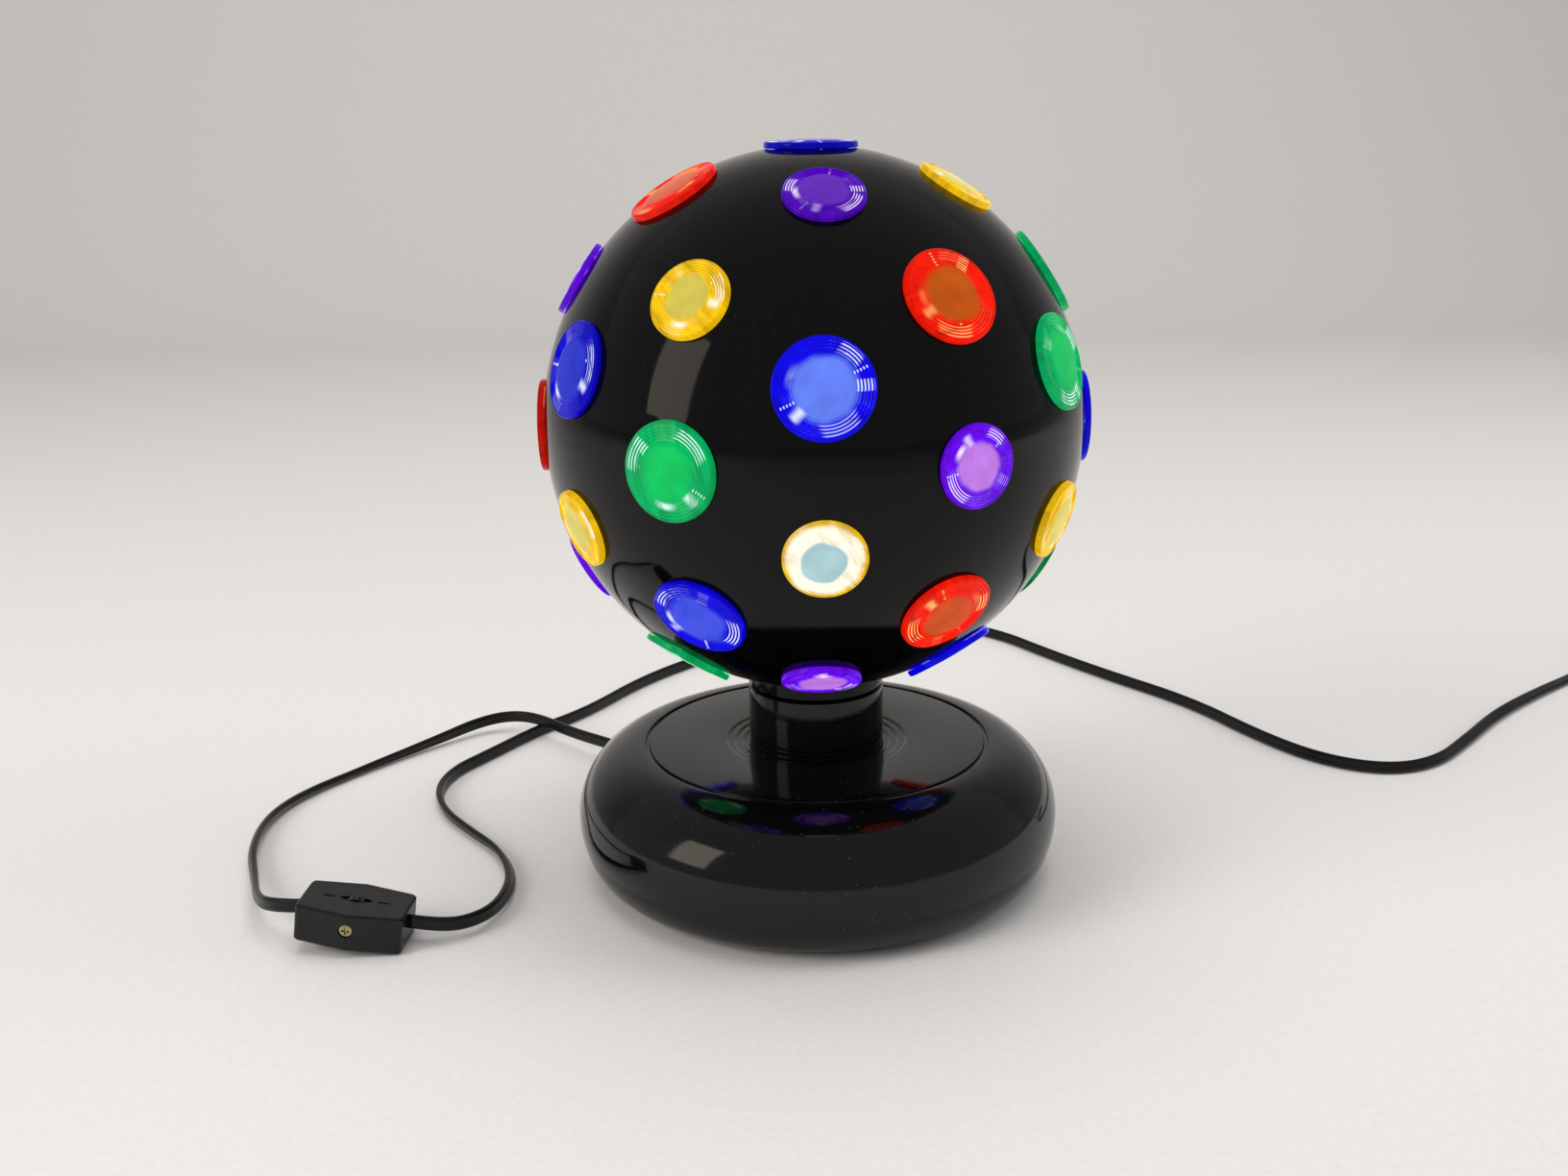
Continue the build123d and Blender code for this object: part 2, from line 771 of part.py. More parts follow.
# Lamp post and its nuts
lead_hole = lead_radius + lead_side_gap
lead_side = Plane(origin=(0, 0, motor_top), x_dir=(0, 0, 1), z_dir=(*around(1, board_angle), 0))
post = tube(post_radius, post_bore, post_foot, post_top)
add("lamp_post", post - lead_side * rod(lead_hole, 0, post_radius + overrun))


def hex_nut(low, high):
    """A plain hexagon nut on the post between two heights."""
    block = Pos(0, 0, low) * extrude(RegularPolygon(nut_flats / math.sqrt(3), nut_side_count), high - low)
    return block - rod(post_radius + easy_fit / 2, low - overrun, high + overrun)


add("post_nuts", hex_nut(post_foot, nut_pocket_top - easy_fit), hex_nut(boss_split, boss_split + nut_thick))

# Head of lights: a six-sided heatsink with a board on each face and one on top
heatsink = Pos(0, 0, heatsink_low) * extrude(
    RegularPolygon(heatsink_flats / math.sqrt(3), head_side_count, rotation=180 / head_side_count),
    heatsink_height,
)
heatsink -= rod(post_radius + easy_fit / 2, heatsink_low - overrun, post_top)
heatsink -= rod(lead_hole, heatsink_low, heatsink_high + overrun)
add("lamp_heatsink", heatsink)
board_low = heatsink_low + led_board_margin
board_high = heatsink_high - led_board_margin
for k in range(head_side_count):
    facing = 360 * k / head_side_count
    x, y = around(heatsink_flats / 2 + led_board_thick / 2, facing)
    add("led_boards", slab(led_board_thick, led_board_width, board_low, board_high, x, y, facing))
    x, y = around(heatsink_flats / 2 + led_board_thick + led_height / 2, facing)
    for row in range(led_row_count):
        low = ball_centre + (row - (led_row_count - 1) / 2) * led_row_share * heatsink_height - led_side / 2
        add("led_chips", slab(led_height, led_side, low, low + led_side, x, y, facing))
top_board_face = heatsink_high + led_board_thick
add("led_boards", tube(top_board_radius, lead_hole, heatsink_high, top_board_face))
for k in range(led_row_count):
    turn = first_top_led_angle + 360 * k / led_row_count
    x, y = around(top_board_radius * top_led_share, turn)
    add("led_chips", slab(led_side, led_side, top_board_face, top_board_face + led_height, x, y, turn))

# Driver board with its parts
board = slab(board_width, board_length, board_height, board_top, board_x, board_y, board_angle)
board -= [rod(screw_hole, board_height - overrun, board_top + overrun, x, y) for x, y in board_places]
add("driver_board", board)
board_screw = screw(board_screw_head, screw_head_height, screw_shank, board_screw_length)
for x, y in board_places:
    add("board_screws", Pos(x, y, board_top) * board_screw)
for name, size, shares in (
    ("board_transformer", transformer_size, transformer_shares),
    ("board_rectifier", bridge_size, bridge_shares),
    ("terminal_block", terminal_size, terminal_shares),
):
    x, y = on_board(shares)
    add(name, slab(size[0], size[1], board_top, board_top + size[2], x, y, board_angle))
x, y = on_board(capacitor_shares)
add("board_capacitor", rod(capacitor_radius, board_top, board_top + capacitor_height, x, y))

# Thin leads from the board to the lamp and the motor
lead_section = RegularPolygon(lead_radius, lead_side_count)


def thin_lead(name, points, bends):
    """A round lead that starts upright and bends by the radii given."""
    path = FilletPolyline(*points, radius=bends)
    add(name, sweep(Plane(origin=points[0], z_dir=(0, 0, 1)) * lead_section, path=path))


start = on_board(lamp_lead_shares)
lamp_points = [(*start, board_top), (*start, motor_top), (0, 0, motor_top), (0, 0, top_board_face)]
thin_lead("lamp_lead", lamp_points, [lead_bend, post_bore - lead_radius])
start = on_board(motor_lead_shares)
lead_level = board_top + motor_lead_rise
can_x, can_y = around(motor_radius + easy_fit, motor_lead_side_angle)
near_x, near_y = around(motor_radius + easy_fit + motor_lead_run, motor_lead_side_angle)
motor_points = [
    (*start, board_top),
    (*start, lead_level),
    (*around(motor_lead_detour, motor_lead_detour_angle), lead_level),
    (motor_x + near_x, motor_y + near_y, lead_level),
    (motor_x + can_x, motor_y + can_y, lead_level),
]
thin_lead("motor_lead", motor_points, [lead_bend, lead_bend, lead_bend])

# Strain relief in the pan's wall
relief_outline = Polyline(
    (0, gland_face - gland_flange_thick),
    (gland_flange_radius, gland_face - gland_flange_thick),
    (gland_flange_radius, gland_face),
    (relief_neck, gland_face),
    (relief_neck, seam_radius),
    (0, seam_radius),
    (0, gland_face - gland_flange_thick),
)
taper_outline = Polyline(
    (0, gland_face),
    (relief_root, gland_face),
    (relief_root, seam_radius + relief_root_length),
    (relief_tip, seam_radius + relief_length),
    (0, seam_radius + relief_length),
    (0, gland_face),
)
taper = exit_plane * turned(taper_outline) - pan_skin(easy_fit)
add("cord_strain_relief", taper + exit_plane * turned(relief_outline))

# Flat lead: its section and the way it is carried along a route
corner = cord_thick * cord_corner_share
cord_section = make_face(
    Polyline(
        (cord_width / 2 - corner, -cord_thick / 2),
        (cord_width / 2, corner - cord_thick / 2),
        (cord_width / 2, cord_thick / 2 - corner),
        (cord_width / 2 - corner, cord_thick / 2),
        (corner - cord_width / 2, cord_thick / 2),
        (-cord_width / 2, cord_thick / 2 - corner),
        (-cord_width / 2, corner - cord_thick / 2),
        (corner - cord_width / 2, -cord_thick / 2),
        (cord_width / 2 - corner, -cord_thick / 2),
    )
)


def flat_lead(name, path):
    """Carries the flat section along a path and prints how true its volume is."""
    side = Vector(0, 0, 1).cross(path % 0).normalized()
    solid = sweep(Plane(origin=path @ 0, x_dir=side, z_dir=path % 0) * cord_section, path=path)
    share = solid.volume / (cord_section.area * path.length)
    print(name, "length", round(path.length, 1), "volume over section times length", round(share, 4))
    add(name, solid)


def laid_lead(name, points):
    """A flat lead along hand-chosen points, each arc as large as its two runs allow."""
    vectors = [Vector(*p) for p in points]
    runs = [b - a for a, b in zip(vectors, vectors[1:])]
    radii = []
    for a, b in zip(runs, runs[1:]):
        half_turn = math.radians(a.get_angle(b) / 2)
        radii.append(cord_arc_share * min(a.length, b.length) / math.tan(half_turn))
    flat_lead(name, FilletPolyline(*points, radius=radii))
    print("  radii", [round(r) for r in radii], "least", round(min(radii), 1))
    print("  runs", [round(r.length) for r in runs])


inside_end = gland_face - gland_flange_thick
terminal_level = board_top + terminal_size[2] - mains_terminal_drop
mains_points = [
    (*around(inside_end, cord_exit_angle), cord_exit_height),
    (*around(inside_end - mains_exit_run, cord_exit_angle), cord_exit_height),
    (*on_board(terminal_shares, -terminal_size[1] / 2 - mains_terminal_run), terminal_level),
    (*on_board(terminal_shares, -terminal_size[1] / 2), terminal_level),
]
laid_lead("mains_lead_inside", mains_points)

# Cord switch: two halves, a thumbwheel, its screw, nut and contacts
half_length = switch_length / 2
half_height = switch_height / 2
tilt = math.radians(switch_tilt_angle)
switch_z = half_length * math.sin(tilt) + half_height * math.cos(tilt)
switch_place = Pos(switch_x, switch_y, switch_z) * Rot(Z=switch_yaw_angle) * Rot(Y=switch_tilt_angle)


def switch_half(side):
    """One moulded half of the switch: side -1 is the front and 1 the back."""
    outline = Polyline(
        (-half_length, 0),
        (-half_length, side * switch_end_depth / 2),
        (0, side * switch_mid_depth / 2),
        (half_length, side * switch_end_depth / 2),
        (half_length, 0),
        (-half_length, 0),
    )
    half = Pos(0, 0, -half_height) * extrude(make_face(outline), switch_height)
    outer_edges = [
        edge
        for edge in half.edges().filter_by(Axis.Z)
        if abs(edge.center().Y) > switch_end_depth / 4 and abs(edge.center().X) > switch_corner
    ]
    half = fillet(outer_edges, switch_corner)
    rims = [
        edge
        for face in (half.faces().sort_by(Axis.Z)[0], half.faces().sort_by(Axis.Z)[-1])
        for edge in face.edges()
        if abs(edge.center().Y) > switch_edge
    ]
    return chamfer(rims, switch_edge)


def across(radius, near, far, x=0.0, z=0.0):
    """A round bar that lies along Y in the switch."""
    bar = Cylinder(radius, far - near, align=(Align.CENTER, Align.CENTER, Align.MIN))
    return Pos(x, near, z) * Rot(X=-90) * bar


wheel_space = wheel_thick / 2 + wheel_side_gap
eye = make_face(
    ThreePointArc((-eye_length / 2, 0), (0, eye_width / 2), (eye_length / 2, 0))
    + ThreePointArc((eye_length / 2, 0), (0, -eye_width / 2), (-eye_length / 2, 0))
)
screw_seat = switch_screw_head_height + switch_screw_sink - switch_mid_depth / 2
nut_seat = switch_mid_depth / 2 - switch_nut_thick
nut_prism = Rot(X=-90) * extrude(RegularPolygon(switch_nut_radius, nut_side_count), switch_mid_depth)
switch_cuts = [
    Pos(0, 0, wheel_rise + wheel_hub) * extrude(eye, switch_height),
    across(wheel_radius + wheel_rim_gap, -wheel_space, wheel_space, z=wheel_rise),
]
for side in (-1, 1):
    contact_space = Box(contact_length + clear_gap, contact_thick + clear_gap, contact_height + clear_gap)
    switch_cuts.append(Pos(side * contact_offset, 0, 0) * contact_space)
    mark = Box(mark_length, mark_width, 2 * mark_depth)
    switch_cuts.append(Pos(side * mark_offset, 0, half_height) * mark)
front_half = switch_half(-1) - switch_cuts
front_half -= across(switch_screw_hole, -switch_mid_depth, switch_mid_depth, z=wheel_rise)
front_half -= across(switch_screw_head + clear_gap, -switch_mid_depth, screw_seat, z=wheel_rise)
back_half = switch_half(1) - switch_cuts
back_half += across(wheel_hub - easy_fit, -wheel_space, wheel_space + overrun, z=wheel_rise)
back_half -= across(switch_screw_hole, -switch_mid_depth, switch_mid_depth, z=wheel_rise)
back_half -= Pos(0, nut_seat, wheel_rise) * nut_prism
add("switch_front_half", switch_place * front_half)
add("switch_back_half", switch_place * back_half)
wheel_points = []
for k in range(wheel_notch_count):
    for share, reach in (
        (-wheel_notch_share, wheel_radius),
        (wheel_notch_share, wheel_radius),
        (0.5, wheel_radius - wheel_notch_depth),
    ):
        wheel_points.append(around(reach, 360 * (k + share) / wheel_notch_count))
wheel = Rot(X=-90) * extrude(make_face(Polyline(*wheel_points, close=True)), wheel_thick)
wheel = Pos(0, -wheel_thick / 2, wheel_rise) * wheel
wheel -= across(wheel_hub, -wheel_thick, wheel_thick, z=wheel_rise)
add("switch_thumbwheel", switch_place * wheel)
switch_screw = Rot(X=90) * screw(
    switch_screw_head, switch_screw_head_height, screw_shank, nut_seat + switch_nut_thick / 2 - screw_seat
)
add("switch_screw", switch_place * (Pos(0, screw_seat, wheel_rise) * switch_screw))
nut = Rot(X=-90) * extrude(RegularPolygon(switch_nut_radius - easy_fit, nut_side_count), switch_nut_thick)
nut = Pos(0, nut_seat, wheel_rise) * nut
nut -= across(screw_shank + easy_fit / 2, 0, switch_mid_depth, z=wheel_rise)
add("switch_nut", switch_place * nut)
for side in (-1, 1):
    strip = Pos(side * contact_offset, 0, 0) * Box(contact_length, contact_thick, contact_height)
    add("switch_contacts", switch_place * strip)


def switch_point(along):
    """A point on the lead's line through the switch, a length along it."""
    return tuple((switch_place * Pos(along, 0, switch_cord_rise)).position)


# The lead's laid-out route: hand-chosen points on the surface the light stands on
relief_end = seam_radius + relief_length
to_switch = [
    (*around(relief_end, cord_exit_angle), cord_exit_height),
    (*around(relief_end + cord_first_run, cord_exit_angle), cord_exit_height),
    (-116.0, 134.0, 7.0),
    (-139.5, 157.0, 6.4),
    (-159.5, 155.5, 5.2),
    (-180.0, 132.5, 2.4),
    (-209.0, 100.0, 1.4),
    (-231.0, 68.0, 1.4),
    (-238.5, 34.0, 1.4),
    (-236.0, 4.0, 2.0),
    (-230.5, -19.0, 6.0),
    (-225.0, -42.5, 11.8),
    switch_point(-half_length - switch_lead_in),
    switch_point(-half_length),
]
laid_lead("cord_to_switch", to_switch)
to_coil = [
    switch_point(half_length),
    switch_point(half_length + switch_lead_out),
    (-128.8, -61.2, 4.5),
    (-122.5, -44.5, 2.4),
    (-121.3, -20.0, 1.4),
    (-130.0, 5.0, 1.4),
    (-146.0, 25.5, 1.4),
    (-160.5, 46.0, 1.4),
    (-168.5, 70.0, 1.4),
    (-165.0, 93.0, 1.4),
    (-152.0, 113.5, 1.4),
    (-134.0, 144.0, 1.4),
    (-112.0, 170.0, 1.4),
    (-90.0, 212.0, 1.4),
    (-68.0, 241.0, 1.4),
    (-38.0, 272.0, 1.4),
    (0.0, 297.0, 1.4),
    (42.0, 312.5, 1.4),
    (82.0, 309.0, 1.4),
    (110.0, 288.0, 1.4),
    (132.0, 252.0, 1.4),
    (158.0, 214.5, 1.4),
    (192.0, 171.0, 1.4),
    (214.0, 122.0, 1.4),
    (234.0, 92.0, 1.4),
    (260.0, 78.5, 1.4),
    (285.0, 87.0, 1.4),
    (308.0, 113.0, 1.4),
    (336.0, 147.5, 1.4),
    (368.0, 178.0, 1.4),
    (401.0, 206.0, 1.4),
    (425.0, 228.0, 1.4),
]
laid_lead("cord_to_coil", to_coil)

# The put-away coil: in along the floor, up a layer in half a turn, and out again on top
coil_start = Vector(*to_coil[-1])
out = (coil_start - Vector(*to_coil[-2])).normalized()
heading = math.atan2(out.Y, out.X)
first_angle = heading + math.pi / 2
coil_x = coil_start.X - coil_radius * math.cos(first_angle)
coil_y = coil_start.Y - coil_radius * math.sin(first_angle)
layer_turns = (coil_turn_count - coil_climb_count) / 2


def coil_point(turn):
    """The coil's centreline after so many clockwise turns."""
    climbed = min(1, max(0, (turn - layer_turns) / coil_climb_count))
    height = coil_start.Z + coil_layer * (1 - math.cos(math.pi * climbed)) / 2
    radius = coil_radius - coil_pitch * min(turn, layer_turns, coil_turn_count - turn)
    angle = first_angle - 2 * math.pi * turn
    return Vector(coil_x + radius * math.cos(angle), coil_y + radius * math.sin(angle), height)


def coil_tangent(turn):
    """The coil's direction after so many turns, straight on at its two ends."""
    if turn in (0, coil_turn_count):
        return out
    small = coil_slope_share
    return (coil_point(turn + small) - coil_point(turn - small)).normalized()


def biarc(p0, t0, p1, t1):
    """Two tangent arcs from one point and direction to another."""
    v = p1 - p0
    t = t0 + t1
    bend = 2 * (1 - t0.dot(t1))
    reach = (-v.dot(t) + math.sqrt(v.dot(t) ** 2 + bend * v.dot(v))) / bend
    q0 = p0 + t0 * reach
    q1 = p1 - t1 * reach
    joint = (q0 + q1) * 0.5
    return [TangentArc(p0, joint, tangent=t0), TangentArc(joint, p1, tangent=(q1 - q0).normalized())]


stations = [coil_turn_count * k / coil_station_count for k in range(coil_station_count + 1)]
coil_edges = []
for a, b in zip(stations, stations[1:]):
    coil_edges += biarc(coil_point(a), coil_tangent(a), coil_point(b), coil_tangent(b))
coil_end = coil_point(coil_turn_count)
plug_rear = coil_end + out * coil_tail
coil_edges.append(Line(coil_end, plug_rear))
flat_lead("cord_coil", Wire([edge.edge() for edge in coil_edges]))
samples = [coil_point(coil_turn_count * k / coil_sample_count) for k in range(coil_sample_count + 1)]
gaps = [
    max((samples[i] - samples[j]).length - cord_width, abs(samples[i].Z - samples[j].Z) - cord_thick)
    for i in range(coil_sample_count + 1)
    for j in range(i + coil_skip_count, coil_sample_count + 1)
]
print("cord_coil least gap to itself", round(min(gaps), 2))

# Moulded plug with two flat blades, lying beside the coil
plug_plane = Plane(origin=(plug_rear.X, plug_rear.Y, 0), x_dir=(-out.Y, out.X, 0), z_dir=(out.X, out.Y, 0))
rear_shape = RectangleRounded(plug_rear_width, plug_rear_thick, plug_corner)
front_shape = RectangleRounded(plug_width, plug_thick, plug_corner)
rear = plug_plane * (Pos(0, plug_rear.Z, 0) * rear_shape)
front = plug_plane * (Pos(0, plug_thick / 2, plug_taper) * front_shape)
plug = loft([rear, front]) + extrude(front, plug_length - plug_taper, dir=(out.X, out.Y, 0))
add("plug_body", plug)
for side in (-1, 1):
    blade = Box(blade_thick, blade_height, blade_length)
    place = Pos(side * blade_spacing / 2, plug_thick / 2, plug_length + blade_length / 2)
    add("plug_blades", plug_plane * (place * blade))

for name, solids in nodes.items():
    export_step(Compound(children=solids), f"parts/{name}.step")
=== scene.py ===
import math

import bmesh
import bpy
import numpy as np
from mathutils import Matrix


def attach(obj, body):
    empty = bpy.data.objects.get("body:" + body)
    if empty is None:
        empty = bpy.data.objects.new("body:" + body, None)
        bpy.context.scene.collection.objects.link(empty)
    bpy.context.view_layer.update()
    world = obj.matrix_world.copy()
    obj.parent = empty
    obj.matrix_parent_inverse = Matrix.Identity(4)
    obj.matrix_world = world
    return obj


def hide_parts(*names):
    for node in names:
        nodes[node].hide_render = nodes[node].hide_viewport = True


# A motor-turned black ball light set with coloured lens discs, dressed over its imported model.
# Sizes are in millimetres and become metres where they go into a mesh.
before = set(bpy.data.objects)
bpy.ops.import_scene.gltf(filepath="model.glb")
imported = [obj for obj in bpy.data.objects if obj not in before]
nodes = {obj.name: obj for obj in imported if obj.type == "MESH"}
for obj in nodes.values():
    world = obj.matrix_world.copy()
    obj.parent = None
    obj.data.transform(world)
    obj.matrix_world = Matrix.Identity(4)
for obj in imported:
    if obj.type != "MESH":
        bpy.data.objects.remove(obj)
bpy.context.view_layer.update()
mm = 0.001

# Camera: a phone held about two thirds of a metre in front of the light and a little
# above it, looking slightly down and leaning a touch to one side.
photo_width_px = 1632
focal_px = 1803.5
look_down = math.radians(16.1)
lean = math.radians(-0.844)
forward = np.array([0, math.cos(look_down), -math.sin(look_down)])
level_up = np.array([0, math.sin(look_down), math.cos(look_down)])
right = math.cos(lean) * np.array([1, 0, 0]) + math.sin(lean) * level_up
up = math.cos(lean) * level_up - math.sin(lean) * np.array([1, 0, 0])
eye = np.array([-12.1, -650.0, 302.7]) * mm
camera = bpy.data.objects.new("camera", bpy.data.cameras.new("camera"))
camera.data.sensor_width = 36
camera.data.lens = camera.data.sensor_width * focal_px / photo_width_px
pose = np.eye(4)
pose[:3, :4] = np.column_stack([right, up, -forward, eye])
camera.matrix_world = Matrix(pose.tolist())
bpy.context.scene.collection.objects.link(camera)
bpy.context.scene.camera = camera
bpy.context.scene.view_settings.view_transform = "Standard"


# Floor and backdrop: one plain pale sheet that runs back level and then curves up, so
# that the light stands in an empty studio. It is stage, and no part of the object.
def put(tree, kind, inputs=None, **settings):
    """Adds a shader node. Each input takes a number, a colour or another node's output."""
    node = tree.nodes.new(kind)
    for name, value in settings.items():
        setattr(node, name, value)
    for key, value in (inputs or {}).items():
        if isinstance(value, bpy.types.NodeSocket):
            tree.links.new(value, node.inputs[key])
        else:
            node.inputs[key].default_value = value
    return node


def colour(red, green, blue, share=1.0):
    """A colour as a screen shows it, from 0 to 255, as a share of its linear light."""
    shown = np.array([red, green, blue]) / 255
    linear = np.where(shown < 0.04045, shown / 12.92, ((shown + 0.055) / 1.055) ** 2.4)
    return (*(share * linear).tolist(), 1.0)


def new_material(name, **fixed):
    """A material, its node tree and its shader. fixed holds what stays on the shader's own sockets."""
    material = bpy.data.materials.new(name)
    material.use_nodes = True
    tree = material.node_tree
    shader = tree.nodes["Principled BSDF"]
    for socket, value in fixed.items():
        shader.inputs[socket.replace("_", " ")].default_value = value
    return material, tree, shader


def mixed(tree, factor, first, second, blend="MIX"):
    """The output of a colour mix of two colours by a factor."""
    values = {"Factor": factor, "A": first, "B": second}
    return put(tree, "ShaderNodeMix", values, data_type="RGBA", blend_type=blend).outputs["Result"]


def noise(tree, place, scale, detail, **inputs):
    """The value of a noise over a place, from about 0.2 to 0.8."""
    values = {"Vector": place, "Scale": scale, "Detail": detail} | inputs
    return put(tree, "ShaderNodeTexNoise", values).outputs["Fac"]


def surface_mesh(name, grid, joined=False, capped=False):
    """A smooth mesh over a grid of points, rows by columns. The columns may join up into a
    tube, whose first and last rows may be closed by one face each."""
    rows, columns = grid.shape[:2]
    number = np.arange(rows * columns).reshape(rows, columns)
    if joined:
        number = np.column_stack([number, number[:, 0]])
    corners = [number[:-1, :-1], number[:-1, 1:], number[1:, 1:], number[1:, :-1]]
    faces = np.stack([corner.ravel() for corner in corners], axis=1).tolist()
    if capped:
        faces += [number[0, columns - 1 :: -1].tolist(), number[-1, :columns].tolist()]
    mesh = bpy.data.meshes.new(name)
    mesh.from_pydata((grid.reshape(-1, 3) * mm).tolist(), [], faces)
    mesh.shade_smooth()
    return mesh


def show(name, mesh, material):
    """Puts a mesh into the scene under a name, at the origin."""
    piece = bpy.data.objects.new(name, mesh)
    mesh.materials.append(material)
    bpy.context.scene.collection.objects.link(piece)
    return piece


paper, tree, shader = new_material("studio_paper", Roughness=0.7)
where = put(tree, "ShaderNodeTexCoord").outputs["Object"]
paper_colour = mixed(tree, noise(tree, where, 380.0, 3.0), colour(212, 209, 205), colour(224, 221, 217))
tree.links.new(paper_colour, shader.inputs["Base Color"])
floor_front, floor_back, floor_half_width = -6000, 1500, 6000
sweep_radius, wall_top = 700, 2600
clear_of_feet = 0.2
floor_run = np.linspace(floor_front, floor_back, 16)
rise_angle = np.linspace(0, math.pi / 2, 24)[1:]
swept = floor_back + sweep_radius * np.sin(rise_angle)
back = np.concatenate([floor_run, swept, [floor_back + sweep_radius]])
high = np.concatenate([0 * floor_run, sweep_radius * (1 - np.cos(rise_angle)), [wall_top]])
across = np.linspace(-floor_half_width, floor_half_width, 17)
sheet = np.broadcast_arrays(across[None, :], back[:, None], high[:, None] - clear_of_feet)
backdrop = show("studio_backdrop", surface_mesh("studio_backdrop", np.stack(sheet, axis=2)), paper)


# Lamps: a broad soft box on the left, a weaker one far round on the right and one
# overhead, with a pale world. Only a dim warm window on the left shows in the gloss.
def soft_box(name, place, aim, width, height, watts, mirrored=False):
    """A flat soft lamp, width by height, at a place and turned to a point. Gloss may mirror it."""
    lamp = bpy.data.objects.new(name, bpy.data.lights.new(name, "AREA"))
    lamp.data.shape = "RECTANGLE"
    lamp.data.size = width
    lamp.data.size_y = height
    lamp.data.energy = watts
    away = np.array(place) - np.array(aim)
    away = away / np.linalg.norm(away)
    side = np.cross([0, 1e-3, 1], away)
    side /= np.linalg.norm(side)
    turn = np.eye(4)
    turn[:3, :4] = np.column_stack([side, np.cross(away, side), away, place])
    lamp.matrix_world = Matrix(turn.tolist())
    lamp.visible_camera = False
    lamp.visible_glossy = mirrored
    bpy.context.scene.collection.objects.link(lamp)
    return lamp


soft_box("lamp_left", (-1.9, -1.0, 1.1), (0, 0, 0.2), width=1.3, height=1.4, watts=27)
window_size = {"width": 0.56, "height": 0.86}
window = soft_box("lamp_window", (-1.35, -0.72, 0.78), (0, 0, 0.2), **window_size, watts=4.5, mirrored=True)
window.data.color = (1.0, 0.9, 0.72)
soft_box("lamp_right", (1.5, 0.05, 0.8), (0, 0, 0.15), width=0.8, height=1.2, watts=9)
soft_box("lamp_above", (0.1, 0.1, 1.8), (0, 0.05, 0), width=1.6, height=1.6, watts=20)
world = bpy.data.worlds.new("pale_world")
bpy.context.scene.world = world
world.use_nodes = True
tree = world.node_tree
sky = tree.nodes["Background"]
sky.inputs["Color"].default_value = colour(222, 222, 226)
rays = put(tree, "ShaderNodeLightPath").outputs
values = {0: rays["Is Camera Ray"], 1: rays["Is Transmission Ray"]}
seen = put(tree, "ShaderNodeMath", values, operation="MAXIMUM").outputs["Value"]
strength = put(tree, "ShaderNodeMapRange", {"Value": seen, "To Min": 0.5, "To Max": 0.9})
tree.links.new(strength.outputs["Result"], sky.inputs["Strength"])


# Flat lead: two stranded cores side by side in black vinyl, with a shallow groove down
# the middle of each face. It stands on edge where it bends and turns flat where it
# is passed over. Its jacket is extruded, so it has only a faint grain.
def shader_group(name, inputs, outputs):
    """A new node group with named inputs (a default, or None for a vector) and outputs (a kind)."""
    tree = bpy.data.node_groups.new(name, "ShaderNodeTree")
    for label, default in inputs.items():
        kind = "NodeSocketVector" if default is None else "NodeSocketFloat"
        socket = tree.interface.new_socket(label, in_out="INPUT", socket_type=kind)
        if default is not None:
            socket.default_value = default
    for label, kind in outputs.items():
        tree.interface.new_socket(label, in_out="OUTPUT", socket_type="NodeSocket" + kind)
    return tree, put(tree, "NodeGroupInput").outputs, put(tree, "NodeGroupOutput").inputs


def number(tree, operation, *values, **settings):
    """The output of one sum on numbers, such as MULTIPLY or MAXIMUM."""
    inputs = dict(enumerate(values))
    return put(tree, "ShaderNodeMath", inputs, operation=operation, **settings).outputs["Value"]


def ramp(tree, value, low, high, start=0.0, end=1.0, ease="SMOOTHSTEP"):
    """A value that goes from start to end while another goes from low to high, and stays there."""
    inputs = {"Value": value, "From Min": low, "From Max": high, "To Min": start, "To Max": end}
    return put(tree, "ShaderNodeMapRange", inputs, interpolation_type=ease).outputs["Result"]


def stretched(tree, place, *factors):
    """A place with each axis multiplied by its own factor."""
    values = {0: place, 1: factors}
    return put(tree, "ShaderNodeVectorMath", values, operation="MULTIPLY").outputs["Vector"]


def bumped(tree, height):
    """The normal of a surface raised by a height in metres."""
    return put(tree, "ShaderNodeBump", {"Height": height, "Distance": 1.0}).outputs["Normal"]


# The skin that every moulded or extruded piece shares: a fine grain, slow changes of
# gloss, hairline scratches that run two ways, and a few specks of dust.
skin_inputs = {"Place": None, "Grain Scale": 900.0, "Grain Depth": 0.00001}
skin_inputs |= {"Smooth": 0.2, "Rough": 0.3, "Scratches": 0.0, "Dust": 0.0}
skin_outputs = {"Roughness": "Float", "Normal": "Vector", "Dust": "Float"}
skin, given, result = shader_group("moulded_skin", skin_inputs, skin_outputs)
grain = noise(skin, given["Place"], given["Grain Scale"], 3.0)
cloud = noise(skin, given["Place"], 32.0, 5.0)
hairs = []
for turn, stretch in ((0.9, (1500, 38, 900)), (-0.6, (60, 1300, 1100))):
    turned = put(skin, "ShaderNodeVectorRotate", {"Vector": given["Place"], "Angle": turn})
    streak = noise(skin, stretched(skin, turned.outputs["Vector"], *stretch), 1.0, 1.0)
    hairs.append(ramp(skin, streak, 0.7, 0.76))
scratch = number(skin, "MULTIPLY", number(skin, "MAXIMUM", *hairs), given["Scratches"])
cells = put(skin, "ShaderNodeTexVoronoi", {"Vector": given["Place"], "Scale": 300.0})
specks = ramp(skin, cells.outputs["Distance"], 0.05, 0.13, 1.0, 0.0)
patchy_specks = number(skin, "MULTIPLY", specks, ramp(skin, cloud, 0.42, 0.6))
dust = number(skin, "MULTIPLY", patchy_specks, given["Dust"])
gloss = ramp(skin, cloud, 0.35, 0.65, given["Smooth"], given["Rough"], "LINEAR")
